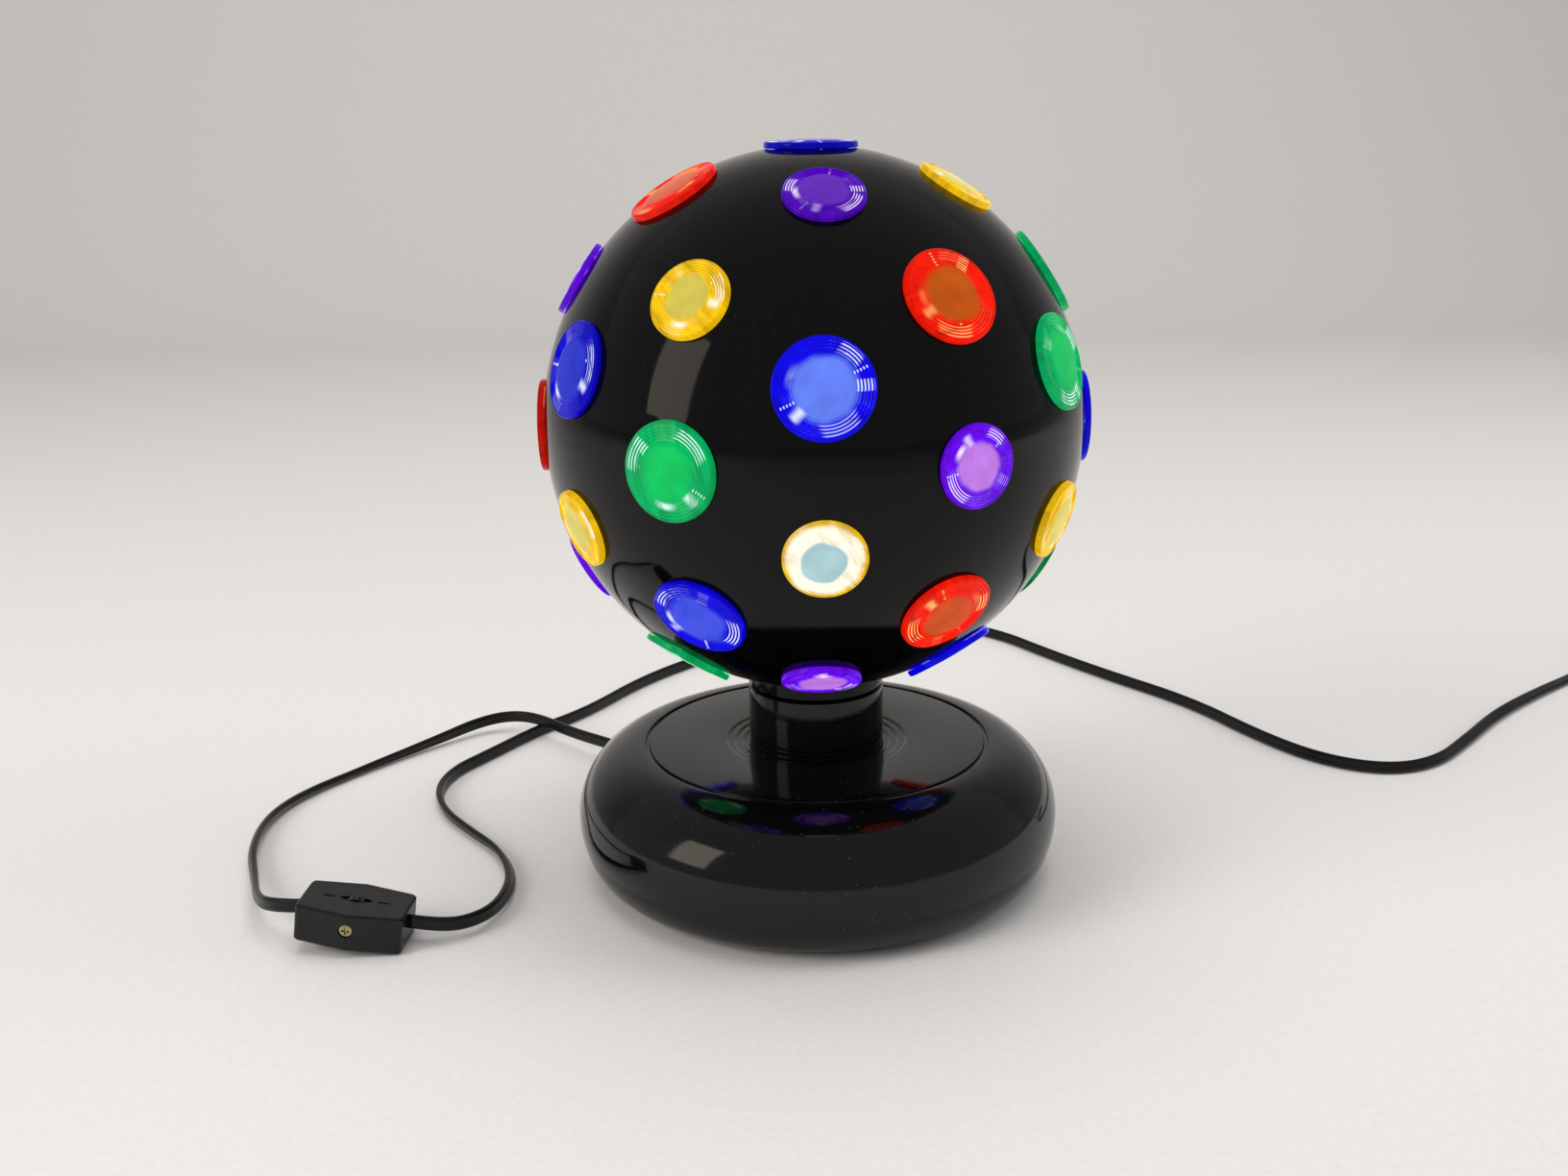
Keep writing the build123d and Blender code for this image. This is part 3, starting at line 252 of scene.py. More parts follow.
worn = number(skin, "MULTIPLY_ADD", scratch, 0.22, gloss)
skin.links.new(number(skin, "MULTIPLY_ADD", dust, 0.4, worn, use_clamp=True), result["Roughness"])
relief = number(skin, "MULTIPLY_ADD", scratch, -0.5, grain)
height = number(skin, "MULTIPLY", relief, given["Grain Depth"])
skin.links.new(bumped(skin, height), result["Normal"])
skin.links.new(dust, result["Dust"])


def moulded(name, plain, smooth, rough, grain_scale, grain_depth_um, scratches=0.0, dust=0.0, **fixed):
    """A moulded or extruded finish of one colour that drifts a little, in the shared skin."""
    material, tree, shader = new_material(name, **fixed)
    place = put(tree, "ShaderNodeTexCoord").outputs["Object"]
    values = {
        "Place": place,
        "Grain Scale": grain_scale,
        "Grain Depth": grain_depth_um * 0.000001,
        "Smooth": smooth,
        "Rough": rough,
        "Scratches": scratches,
        "Dust": dust,
    }
    face = put(tree, "ShaderNodeGroup", values, node_tree=skin).outputs
    base = mixed(tree, noise(tree, place, 60.0, 4.0), colour(*plain, 0.8), colour(*plain, 1.2))
    tree.links.new(mixed(tree, face["Dust"], base, colour(104, 101, 96)), shader.inputs["Base Color"])
    tree.links.new(face["Roughness"], shader.inputs["Roughness"])
    tree.links.new(face["Normal"], shader.inputs["Normal"])
    return material


lead_vinyl = moulded(
    "lead_vinyl", (13, 13, 14), 0.28, 0.42, 1400.0, 8.0, scratches=0.2, dust=0.2, Specular_IOR_Level=0.28
)
lead_half_width = 2.7
lead_half_thick = 1.4
lead_side_power = 0.62
lead_face_power = 0.8
lead_groove_depth = 0.3
lead_groove_half_width = 0.6


def line_through(name, points):
    """The points along a smooth NURBS line, in millimetres, whose control points are given."""
    curve = bpy.data.curves.new(name, "CURVE")
    curve.dimensions = "3D"
    spline = curve.splines.new("NURBS")
    spline.points.add(len(points) - 1)
    spline.points.foreach_set("co", np.column_stack([np.array(points), np.ones(len(points))]).ravel())
    spline.order_u = 3
    spline.use_endpoint_u = True
    spline.resolution_u = 14
    route = bpy.data.objects.new(name, curve)
    mesh = bpy.data.meshes.new_from_object(route)
    line = np.zeros(3 * len(mesh.vertices))
    mesh.vertices.foreach_get("co", line)
    bpy.data.objects.remove(route)
    return line.reshape(-1, 3)


def squared_off(wave, power):
    """A sine or cosine with its size raised to a power under 1, which squares a circle off."""
    return np.sign(wave) * np.abs(wave) ** power


def flat_lead(name, line, roll_stations, roll_degrees):
    """The lead's jacket along a line: a rounded oblong, squared off as a superellipse and pinched
    at its middle by a smooth groove, rolled about the line by an angle that eases between stations."""
    steps = np.linalg.norm(np.diff(line, axis=0), axis=1)
    along = np.concatenate([[0], np.cumsum(steps)]) / steps.sum()
    heading = np.gradient(line, axis=0)
    heading /= np.linalg.norm(heading, axis=1)[:, None]
    level = np.cross([0, 0, 1], heading)
    level /= np.linalg.norm(level, axis=1)[:, None]
    upward = np.cross(heading, level)
    roll = np.interp(along, roll_stations, np.radians(roll_degrees))
    reach = 6
    window = np.ones(2 * reach + 1) / (2 * reach + 1)
    roll = np.convolve(np.pad(roll, reach, "edge"), window, "valid")[:, None]
    wide = level * np.cos(roll) + upward * np.sin(roll)
    thin = upward * np.cos(roll) - level * np.sin(roll)
    turn = np.linspace(0, 2 * math.pi, 32, endpoint=False)
    u = lead_half_width * squared_off(np.cos(turn), lead_side_power)
    v = lead_half_thick * squared_off(np.sin(turn), lead_face_power)
    v *= 1 - lead_groove_depth / lead_half_thick * np.exp(-((u / lead_groove_half_width) ** 2))
    grid = line[:, None] + wide[:, None] * u[None, :, None] + thin[:, None] * v[None, :, None]
    return surface_mesh(name, grid, joined=True, capped=True)


switch_centre = (-172.5, -66.5, 9.963)
switch_yaw = math.radians(-4)
switch_tilt = math.radians(8)
switch_lead_rise = 1.5


def switch_point(along):
    """A point on the lead's line through the switch, a length along it from the middle."""
    level = along * math.cos(switch_tilt) + switch_lead_rise * math.sin(switch_tilt)
    height = switch_lead_rise * math.cos(switch_tilt) - along * math.sin(switch_tilt)
    x, y, z = switch_centre
    return (x + level * math.cos(switch_yaw), y + level * math.sin(switch_yaw), z + height)


relief_tip = (-75.26, 89.06, 9.0)
route_to_switch = [
    relief_tip,
    (-87.0, 103.0, 9.1),
    (-113.5, 124.5, 8.7),
    (-132.0, 145.5, 8.4),
    (-146.5, 153.0, 7.8),
    (-162.0, 149.5, 6.0),
    (-181.0, 131.5, 3.2),
    (-209.0, 100.0, 1.9),
    (-230.5, 69.0, 2.2),
    (-237.5, 41.0, 2.7),
    (-234.0, 9.0, 3.2),
    (-224.0, -20.0, 4.4),
    (-214.5, -48.5, 8.6),
    (-203.0, -64.2, 13.8),
    switch_point(-19.5),
]
switch_line = line_through("route_to_switch", route_to_switch)
switch_rolls = (0, 0.2, 0.32, 0.44, 0.53, 0.62, 0.78, 0.9, 1), (90, 90, 88, 45, 20, 30, 70, 88, 90)
lead_to_switch = show("lead_to_switch", flat_lead("lead_to_switch", switch_line, *switch_rolls), lead_vinyl)
route_to_plug = [
    switch_point(19.5),
    switch_point(33),
    (-128.8, -61.2, 5.6),
    (-122.5, -44.5, 3.6),
    (-121.3, -20.0, 2.8),
    (-130.0, 5.0, 2.8),
    (-146.0, 25.5, 2.8),
    (-160.5, 46.0, 2.8),
    (-168.5, 70.0, 2.8),
    (-165.0, 93.0, 2.8),
    (-152.0, 113.5, 2.8),
    (-134.0, 144.0, 2.8),
    (-112.0, 170.0, 2.8),
    (-90.0, 212.0, 2.8),
    (-68.0, 241.0, 2.8),
    (-38.0, 272.0, 2.8),
    (0.0, 297.0, 2.8),
    (42.0, 312.5, 2.8),
    (82.0, 309.0, 2.8),
    (110.0, 288.0, 2.8),
    (132.0, 252.0, 2.8),
    (158.0, 214.5, 2.8),
    (192.0, 171.0, 2.8),
    (214.0, 122.0, 2.8),
    (234.0, 92.0, 2.8),
    (260.0, 78.5, 2.8),
    (285.0, 87.0, 2.8),
    (308.0, 113.0, 2.8),
    (336.0, 147.5, 2.8),
    (368.0, 178.0, 2.3),
    (401.0, 206.0, 1.6),
    (425.0, 228.0, 1.4),
]

# Put-away coil: the unseen end of the lead, wound clockwise in along the floor, up one
# layer and out again on top, then straight on to its plug.
coil_radius = 32.0
coil_pitch = 9.4
coil_layer = 3.7
coil_turns = 2.0
points_per_turn = 14
climb_turns = 0.5
coil_tail = 28.0
coil_start = np.array(route_to_plug[-1])
coil_run = coil_start - route_to_plug[-2]
coil_heading = math.atan2(coil_run[1], coil_run[0])
out = np.array([math.cos(coil_heading), math.sin(coil_heading), 0])
coil_centre = coil_start[:2] + coil_radius * np.array([math.sin(coil_heading), -math.cos(coil_heading)])
turns = np.linspace(0, coil_turns, round(coil_turns * points_per_turn) + 1)[1:]
layer_turns = (coil_turns - climb_turns) / 2
climbed = np.clip((turns - layer_turns) / climb_turns, 0, 1)
reach = coil_radius - coil_pitch * np.minimum(np.minimum(turns, layer_turns), coil_turns - turns)
bearing = coil_heading + math.pi / 2 - 2 * math.pi * turns
coil_height = coil_start[2] + coil_layer * (1 - np.cos(math.pi * climbed)) / 2
coil_x, coil_y = coil_centre[0] + reach * np.cos(bearing), coil_centre[1] + reach * np.sin(bearing)
coil = np.column_stack([coil_x, coil_y, coil_height])
plug_rear = coil[-1] + coil_tail * out
last_points = (coil[-1] + plug_rear) / 2, plug_rear + out
plug_line = line_through("route_to_plug", np.vstack([route_to_plug, coil, *last_points]))
plug_rolls = (
    (0, 0.025, 0.05, 0.08, 0.115, 0.155, 0.2, 0.26, 0.58, 0.68, 0.73, 1),
    (90, 85, 55, 62, 76, 84, 88, 84, 80, 20, 0, 0),
)
lead_to_plug = show("lead_to_plug", flat_lead("lead_to_plug", plug_line, *plug_rolls), lead_vinyl)
for lead in (lead_to_switch, lead_to_plug):
    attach(lead, "base")
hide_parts("cord_to_switch")
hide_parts("cord_to_coil", "cord_coil")


# In-line switch: two satin black halves drawn together round the lead by one brass
# screw, with a notched thumbwheel behind an eye-shaped window in the top.
def dress(material, *names):
    """Gives carried-over nodes a finish of their own."""
    for name in names:
        for slot in nodes[name].material_slots:
            slot.material = material


satin_black = moulded(
    "switch_plastic", (18, 18, 20), 0.3, 0.42, 1700.0, 14.0, scratches=0.5, dust=0.3, Specular_IOR_Level=0.3
)
wheel_black = moulded(
    "thumbwheel_plastic", (11, 11, 12), 0.2, 0.28, 1500.0, 6.0, scratches=0.3, Specular_IOR_Level=0.3
)
dress(satin_black, "switch_front_half", "switch_back_half")
dress(wheel_black, "switch_thumbwheel")

# The metal that screws, cans, posts and blades share: fine drawn or turned lines along
# one direction, slow changes of brightness and a little staining.
drawn_inputs = {"Place": None, "Across Scale": 2200.0, "Along Scale": 60.0}
drawn_inputs |= {"Line Depth": 0.000003, "Smooth": 0.25, "Rough": 0.4}
drawn_outputs = {"Roughness": "Float", "Normal": "Vector", "Tone": "Float"}
drawn, given, result = shader_group("drawn_metal", drawn_inputs, drawn_outputs)
values = {"X": given["Across Scale"], "Y": given["Across Scale"], "Z": given["Along Scale"]}
values = {0: given["Place"], 1: put(drawn, "ShaderNodeCombineXYZ", values).outputs["Vector"]}
lines_place = put(drawn, "ShaderNodeVectorMath", values, operation="MULTIPLY").outputs["Vector"]
lines = noise(drawn, lines_place, 1.0, 3.0)
stain = noise(drawn, given["Place"], 240.0, 4.0)
gloss = ramp(drawn, lines, 0.3, 0.7, given["Smooth"], given["Rough"], "LINEAR")
drawn.links.new(gloss, result["Roughness"])
drawn.links.new(bumped(drawn, number(drawn, "MULTIPLY", lines, given["Line Depth"])), result["Normal"])
tone = number(drawn, "MULTIPLY_ADD", stain, 0.35, number(drawn, "MULTIPLY", lines, 0.3))
drawn.links.new(tone, result["Tone"])


def metal(name, dull, bright, smooth, rough, across=2200.0, along=60.0, line_um=3.0):
    """A bare or plated metal between a dull and a bright colour."""
    material, tree, shader = new_material(name, Metallic=1.0)
    place = put(tree, "ShaderNodeTexCoord").outputs["Object"]
    values = {
        "Place": place,
        "Across Scale": across,
        "Along Scale": along,
        "Line Depth": line_um * 0.000001,
        "Smooth": smooth,
        "Rough": rough,
    }
    face = put(tree, "ShaderNodeGroup", values, node_tree=drawn).outputs
    tree.links.new(mixed(tree, face["Tone"], colour(*dull), colour(*bright)), shader.inputs["Base Color"])
    tree.links.new(face["Roughness"], shader.inputs["Roughness"])
    tree.links.new(face["Normal"], shader.inputs["Normal"])
    return material


brass = metal("screw_brass", (140, 128, 88), (216, 204, 158), 0.22, 0.36)


def lathe(radius, height, columns):
    """A grid of points round the Z axis: row k lies at radius[k] and height[k]."""
    turn = np.linspace(0, 2 * math.pi, columns, endpoint=False)
    radius = np.asarray(radius, float)[:, None]
    height = np.asarray(height, float)[:, None]
    parts = radius * np.cos(turn), radius * np.sin(turn), height + 0 * turn
    return np.stack(np.broadcast_arrays(*parts), axis=2)


def placed(grid, origin, x_axis, z_axis):
    """A grid moved from the Z axis to an origin, with its own X and Z axes turned to two directions."""
    x_axis = np.asarray(x_axis, float)
    z_axis = np.asarray(z_axis, float)
    return grid @ np.stack([x_axis, np.cross(z_axis, x_axis), z_axis]) + np.asarray(origin, float)


def close_poles(mesh):
    """Merges the points that share a place, such as a pole's row, so that the skin is closed."""
    work = bmesh.new()
    work.from_mesh(mesh)
    bmesh.ops.remove_doubles(work, verts=work.verts, dist=0.000001)
    work.to_mesh(mesh)
    work.free()


# Its screw: a domed brass head with a cross recess, sunk a little into the front half.
# The head is a lathe skin, and the recess lowers it where either coordinate is near zero.
head_radius = 2.6
head_height = 1.4
shank_radius = 1.2
shank_length = 22.85
rim_height_share = 0.55
crown_spread = 1.02
recess_reach = 1.55
recess_half_width = 0.36
recess_depth = 0.8
recess_side_run = 0.08
recess_end_run = 0.5
crown_from = 0.1
rings = np.linspace(0, 1, 40)
radius = np.concatenate([head_radius * rings, [head_radius, shank_radius, shank_radius, 0]])
domed = np.sqrt(np.clip(1 - (rings / crown_spread) ** 4, 0, 1))
crown = head_height * (rim_height_share + (1 - rim_height_share) * domed)
height = np.concatenate([crown, [0, 0, shank_radius - shank_length, -shank_length]])
screw = lathe(radius[::-1], height[::-1], 96)
off_axis = np.minimum(np.abs(screw[..., 0]), np.abs(screw[..., 1]))
from_middle = np.hypot(screw[..., 0], screw[..., 1])
on_crown = screw[..., 2] > crown_from
inside_arm = on_crown * np.clip((recess_half_width - off_axis) / recess_side_run, 0, 1)
screw[..., 2] -= inside_arm * recess_depth * np.clip((recess_reach - from_middle) / recess_end_run, 0, 1)
screw_out = (math.sin(switch_yaw), -math.cos(switch_yaw), 0)
screw_seat = 11.7
wheel_rise = 0.8
rise_to_wheel = wheel_rise * np.array([math.sin(switch_tilt), 0, math.cos(switch_tilt)])
seat_point = np.array(switch_centre) + rise_to_wheel + screw_seat * np.array(screw_out)
level_share = math.cos(switch_tilt)
screw_side = level_share * math.cos(switch_yaw), level_share * math.sin(switch_yaw), -math.sin(switch_tilt)
screw = placed(screw, seat_point, screw_side, screw_out)
mesh = surface_mesh("switch_cross_screw", screw, joined=True)
close_poles(mesh)
mesh.set_sharp_from_angle(angle=math.radians(35))
switch_screw = show("switch_cross_screw", mesh, brass)
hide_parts("switch_screw")
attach(switch_screw, "base")
dress(brass, "switch_nut", "switch_contacts")

# Plug at the lead's far end: black vinyl moulded over two flat brass blades, flared from
# the lead to a full front, with a finger hollow and three grip ribs on each side.
plug_length = 28.0
plug_flare = 10.0
plug_rows = 110
rear_half_width, rear_half_height = 4.5, 3.5
flare_width, flare_height = 7.5, 2.8
hollow_place, hollow_reach, hollow_depth = 18, 4.2, 1.5
rib_pitch, rib_depth = 2.6, 0.22
rear_round, front_round = 0.4, 0.6
plug_side_power = 0.5
front_end = (plug_length - front_round / 4, 0.97), (plug_length, 0.9), (plug_length, 0)
plug_columns = np.linspace(0, 2 * math.pi, 64, endpoint=False)
body_run = np.linspace(rear_round, plug_length - front_round, plug_rows)
along = np.concatenate([[0, 0], body_run, [place for place, share in front_end]])
flared = np.clip(along / plug_flare, 0, 1)
flared = flared * flared * (3 - 2 * flared)
hollow = np.exp(-(((along - hollow_place) / hollow_reach) ** 2))
ribs = hollow * np.cos(2 * math.pi * (along - hollow_place) / rib_pitch)
half_wide = rear_half_width + flare_width * flared - hollow_depth * hollow + rib_depth * ribs
half_high = rear_half_height + flare_height * flared
middle_high = plug_rear[2] + (half_high.max() - plug_rear[2]) * flared
ends = np.array([0, 1, *([1] * plug_rows), *[share for place, share in front_end]])
across = squared_off(np.cos(plug_columns), plug_side_power)
upright = squared_off(np.sin(plug_columns), plug_side_power)
grid = np.stack(
    np.broadcast_arrays(
        (ends * half_wide)[:, None] * across,
        (ends * half_high)[:, None] * upright + middle_high[:, None],
        along[:, None],
    ),
    axis=2,
)
grid = placed(grid, (plug_rear[0], plug_rear[1], 0), (-out[1], out[0], 0), out)
mesh = surface_mesh("plug_grip", grid, joined=True)
close_poles(mesh)
mesh.set_sharp_from_angle(angle=math.radians(50))
plug_grip = show("plug_grip", mesh, lead_vinyl)
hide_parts("plug_body")
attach(plug_grip, "base")
dress(metal("blade_brass", (168, 134, 72), (232, 204, 138), 0.18, 0.34, across=900.0), "plug_blades")

# The switch's pieces, gathered in one list.
switch_pieces = ["switch_front_half", "switch_back_half", "switch_thumbwheel"]
switch_pieces += ["switch_nut", "switch_contacts", switch_screw]

# Base: a bun-shaped cover over a shallow pan, both injection-moulded in glossy black,
# handled enough to carry hairline scratches and dust. The fixed neck is the same plastic.
base_black = moulded(
    "base_plastic", (7, 7, 8), 0.06, 0.11, 260.0, 5.0, scratches=0.6, dust=0.4, Specular_IOR_Level=0.34
)
dress(base_black, "base_bottom_pan", "neck_tube")
dress(moulded("foot_rubber", (38, 37, 36), 0.7, 0.85, 1100.0, 40.0, dust=0.8), "rubber_feet")

# The base's cover: one moulding with a soft gutter round its flat plate, a stepped well
# round the neck, a collar under the well and four screw bosses under the plate.
widest_radius, widest_height = 95.4, 26.0
plate_radius, plate_height = 69.0, 53.0
shoulder_radius_share, shoulder_height_share = 0.705, 0.69
base_wall = 2.5
seam_radius, seam_height = 94.6, 17.0
flank_bulge = 0.25
gutter_outer, gutter_width, gutter_depth, gutter_draft = 68.3, 1.8, 1.1, 0.1
well_radius, well_step, well_slope, well_flat = 36.0, 0.65, 0.76, 2.47
well_steps = 3
neck_hole = 26.55
collar_radius, collar_bottom = 38.0, 45.05
boss_circle, boss_radius, boss_bottom, boss_pilot, pilot_top = 74.0, 4.2, 14.0, 1.25, 23.0
boss_root = 0.3
edge_ease = 0.4


def eased(corners, reach):
    """An outline whose inner corners are each turned by a short parabola, begun a reach before the
    corner, or half a run before it where the run is short."""
    corners = np.array(corners, float)
    share = np.linspace(0, 1, 5)[:, None]
    outline = [corners[:1]]
    for before, corner, after in zip(corners, corners[1:], corners[2:]):
        start = corner + (before - corner) * min(reach / np.linalg.norm(before - corner), 0.5)
        end = corner + (after - corner) * min(reach / np.linalg.norm(after - corner), 0.5)
        outline.append((1 - share) ** 2 * start + 2 * share * (1 - share) * corner + share**2 * end)
    return np.vstack([*outline, corners[-1:]])


def arc_through(first, middle, last, count):
    """Points on the circle through three points. Its centre is where the mid-lines of two chords meet."""
    first, middle, last = (np.array(point, float) for point in (first, middle, last))
    chords = np.array([middle - first, last - middle])
    middles = np.array([(first + middle) / 2, (middle + last) / 2])
    centre = np.linalg.solve(chords, (chords * middles).sum(axis=1))
    offsets = first - centre, last - centre
    start, end = (math.atan2(offset[1], offset[0]) for offset in offsets)
    angle = np.linspace(start, end, count)
    return centre + np.hypot(*offsets[0]) * np.column_stack([np.cos(angle), np.sin(angle)])


def merged(name, grids):
    """One mesh over several grids, in their order, each joined round."""
    work = bmesh.new()
    for grid in grids:
        part = surface_mesh("part", grid, joined=True)
        work.from_mesh(part)
        bpy.data.meshes.remove(part)
    mesh = bpy.data.meshes.new(name)
    work.to_mesh(mesh)
    work.free()
    return mesh


def shoulder(wall):
    """The side's upper curve, from its widest to the plate, in by a wall's thickness."""
    run = widest_radius - wall - plate_radius
    rise = plate_height - wall - widest_height
    bend = plate_radius + run * shoulder_radius_share, widest_height + rise * shoulder_height_share
    return arc_through((widest_radius - wall, widest_height), bend, (plate_radius, plate_height - wall), 28)


flank_middle = (seam_radius + widest_radius) / 2 + flank_bulge, (seam_height + widest_height) / 2
flank = arc_through((seam_radius, seam_height), flank_middle, (widest_radius, widest_height), 8)
plate = [
    (plate_radius, plate_height),
    (gutter_outer, plate_height),
    (gutter_outer - gutter_draft, plate_height - gutter_depth),
    (gutter_outer - gutter_width + gutter_draft, plate_height - gutter_depth),
    (gutter_outer - gutter_width, plate_height),
    (well_radius, plate_height),
]
for step in range(1, well_steps + 1):
    edge = plate[-1][0] - well_slope
    tread = plate_height - step * well_step
    plate += [(edge, tread), (edge - well_flat, tread)]
plate = plate[:-1] + [(neck_hole, plate_height - well_steps * well_step), (neck_hole, collar_bottom)]
underside = [(collar_radius, collar_bottom), (collar_radius, plate_height - base_wall)]
inner_side = shoulder(base_wall)[::-1]
closing = [(seam_radius - base_wall, seam_height), (seam_radius, seam_height)]
outline = np.vstack([flank, shoulder(0)[1:-1], eased(plate, edge_ease), underside, inner_side, closing])
boss_top = plate_height - base_wall + boss_root
boss_radii = [0, boss_pilot, boss_pilot, boss_radius, boss_radius, 0]
boss_heights = [pilot_top, pilot_top, boss_bottom, boss_bottom, boss_top, boss_top]
boss = lathe(boss_radii, boss_heights, 32)
boss_places = [(boss_circle, 0, 0), (0, boss_circle, 0), (-boss_circle, 0, 0), (0, -boss_circle, 0)]
grids = [lathe(outline[:, 0], outline[:, 1], 192)] + [boss + np.array(place) for place in boss_places]
mesh = merged("base_cover_moulding", grids)
close_poles(mesh)
mesh.shade_smooth()
mesh.set_sharp_from_angle(angle=math.radians(42))
cover = show("base_cover_moulding", mesh, base_black)
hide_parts("base_top_cover")
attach(cover, "base")

# Small steel parts: screws, the gear's clip, the post and its nuts and the motor's
# shaft, all turned or stamped and bright zinc plated.
zinc = metal("zinc_plate", (138, 142, 148), (214, 217, 222), 0.24, 0.38)
dress(zinc, "base_screws", "neck_screws", "spindle_screws", "motor_screws", "board_screws")
dress(zinc, "gear_clip", "post_nuts", "lamp_post", "motor_shaft")

# Strain relief: a tapered sleeve of the lead's own vinyl, moulded on where it leaves the
# pan at the back, with seven flexing rings round it.
relief_angle = math.radians(130.2)
relief_height = 9.0
relief_away = (math.cos(relief_angle), math.sin(relief_angle), 0)
relief_root_at, relief_tip_at = 92.5, 116.6
relief_root, relief_narrow = 5.0, 3.3
taper_from, taper_end_share = 97.6, 0.97
over_solid = 0.05
ring_count = 7
ring_rise, groove_share, ring_steepness = 0.5, 0.5, 1.6
along = np.linspace(relief_root_at, relief_tip_at, 120)
share = np.clip((along - taper_from) / (relief_tip_at - taper_from), 0, 1)
sleeve = relief_root + (relief_narrow - relief_root) * share
ring_wave = np.cos(2 * math.pi * (ring_count + 0.5) * share)
on_taper = (share > 0) * (share < taper_end_share)
sleeve += over_solid + ring_rise * np.clip(ring_wave * ring_steepness, -groove_share, 1) * on_taper
radius = np.concatenate([[0], sleeve, [0]])
height = np.concatenate([[along[0]], along, [along[-1]]])
relief_side = (-relief_away[1], relief_away[0], 0)
grid = placed(lathe(radius, height, 48), (0, 0, relief_height), relief_side, relief_away)
mesh = surface_mesh("relief_sleeve", grid, joined=True)
close_poles(mesh)
mesh.set_sharp_from_angle(angle=math.radians(50))
relief_sleeve = show("relief_sleeve", mesh, lead_vinyl)
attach(relief_sleeve, "base")
dress(lead_vinyl, "cord_strain_relief", "mains_lead_inside")

# Ball drive inside the neck: a sintered bronze bush, and a hollow spindle, gear and
# pinion moulded in natural acetal.
grains = {"across": 1600.0, "along": 1600.0, "line_um": 12.0}
dress(metal("sintered_bronze", (104, 78, 44), (176, 138, 84), 0.42, 0.6, **grains), "bearing_bush")
acetal = moulded(
    "natural_acetal", (226, 223, 213), 0.34, 0.46, 800.0, 10.0, scratches=0.2, Subsurface_Weight=0.08
)
dress(acetal, "ball_spindle", "driven_gear", "drive_pinion")
draw_lines = {"across": 1400.0, "along": 24.0, "line_um": 5.0}
dress(metal("drawn_can", (142, 144, 146), (206, 208, 210), 0.3, 0.46, **draw_lines), "gear_motor")

# Lamp head at the ball's centre: an extruded aluminium bar with white light boards on its
# faces. The chips are yellow phosphor and glow faintly through their silicone.
die_lines = {"across": 1500.0, "along": 18.0, "line_um": 6.0}
aluminium = metal("extruded_aluminium", (158, 160, 163), (214, 216, 219), 0.32, 0.48, **die_lines)
dress(aluminium, "lamp_heatsink")
dress(moulded("white_mask", (226, 228, 226), 0.3, 0.42, 900.0, 6.0), "led_boards")
phosphor, tree, shader = new_material("chip_phosphor", Roughness=0.25, Emission_Strength=1.0)
mottle = noise(tree, put(tree, "ShaderNodeTexCoord").outputs["Object"], 900.0, 3.0)
tree.links.new(mixed(tree, mottle, colour(236, 200, 60), colour(250, 226, 110)), shader.inputs["Base Color"])
faint_glow = mixed(tree, mottle, colour(255, 236, 170, 0.6), colour(255, 246, 214, 0.9))
tree.links.new(faint_glow, shader.inputs["Emission Color"])
dress(phosphor, "led_chips")

# Driver board inside the base: green solder mask over copper tracks, a taped
# transformer, a sleeved capacitor, a rectifier, a grey terminal block and vinyl leads.
green_mask, tree, shader = new_material("green_mask", Roughness=0.3)
where = put(tree, "ShaderNodeTexCoord").outputs["Object"]
values = {"Vector": where, "Scale": 330.0, "Randomness": 0.0}
cells = put(tree, "ShaderNodeTexVoronoi", values, distance="CHEBYCHEV").outputs["Distance"]
wander = ramp(tree, noise(tree, where, 120.0, 1.0), 0.45, 0.5)
track = number(tree, "MULTIPLY", ramp(tree, cells, 0.3, 0.34), wander)
track_height = 0.00004
tree.links.new(mixed(tree, track, colour(16, 92, 50), colour(44, 138, 78)), shader.inputs["Base Color"])
tree.links.new(bumped(tree, number(tree, "MULTIPLY", track, track_height)), shader.inputs["Normal"])
dress(green_mask, "driver_board")
taped, tree, shader = new_material("winding_tape", Roughness=0.28)
values = {"Vector": put(tree, "ShaderNodeTexCoord").outputs["Object"], "Scale": 90.0, "Distortion": 0.6}
wraps = put(tree, "ShaderNodeTexWave", values, bands_direction="Z").outputs["Fac"]
tape = mixed(tree, ramp(tree, wraps, 0.1, 0.5), colour(150, 112, 12), colour(214, 176, 44))
tape_thick = 0.00008
tree.links.new(tape, shader.inputs["Base Color"])
tree.links.new(bumped(tree, number(tree, "MULTIPLY", wraps, tape_thick)), shader.inputs["Normal"])
dress(taped, "board_transformer")
dress(moulded("sleeve_black", (30, 30, 36), 0.25, 0.38, 700.0, 8.0), "board_capacitor", "board_rectifier")
dress(moulded("terminal_grey", (122, 126, 130), 0.38, 0.5, 900.0, 14.0), "terminal_block")
dress(moulded("lead_red", (160, 20, 18), 0.3, 0.42, 1300.0, 8.0), "lamp_lead", "motor_lead")

# Ball: two half shells moulded in a deep glossy black and polished, with only the
# faintest orange peel, a few hairlines and hardly any dust.
ball_black = moulded(
    "ball_plastic", (5, 5, 6), 0.045, 0.09, 170.0, 2.5, scratches=0.25, dust=0.1, Specular_IOR_Level=0.18
)
dress(ball_black, "ball_upper_shell", "ball_lower_shell")

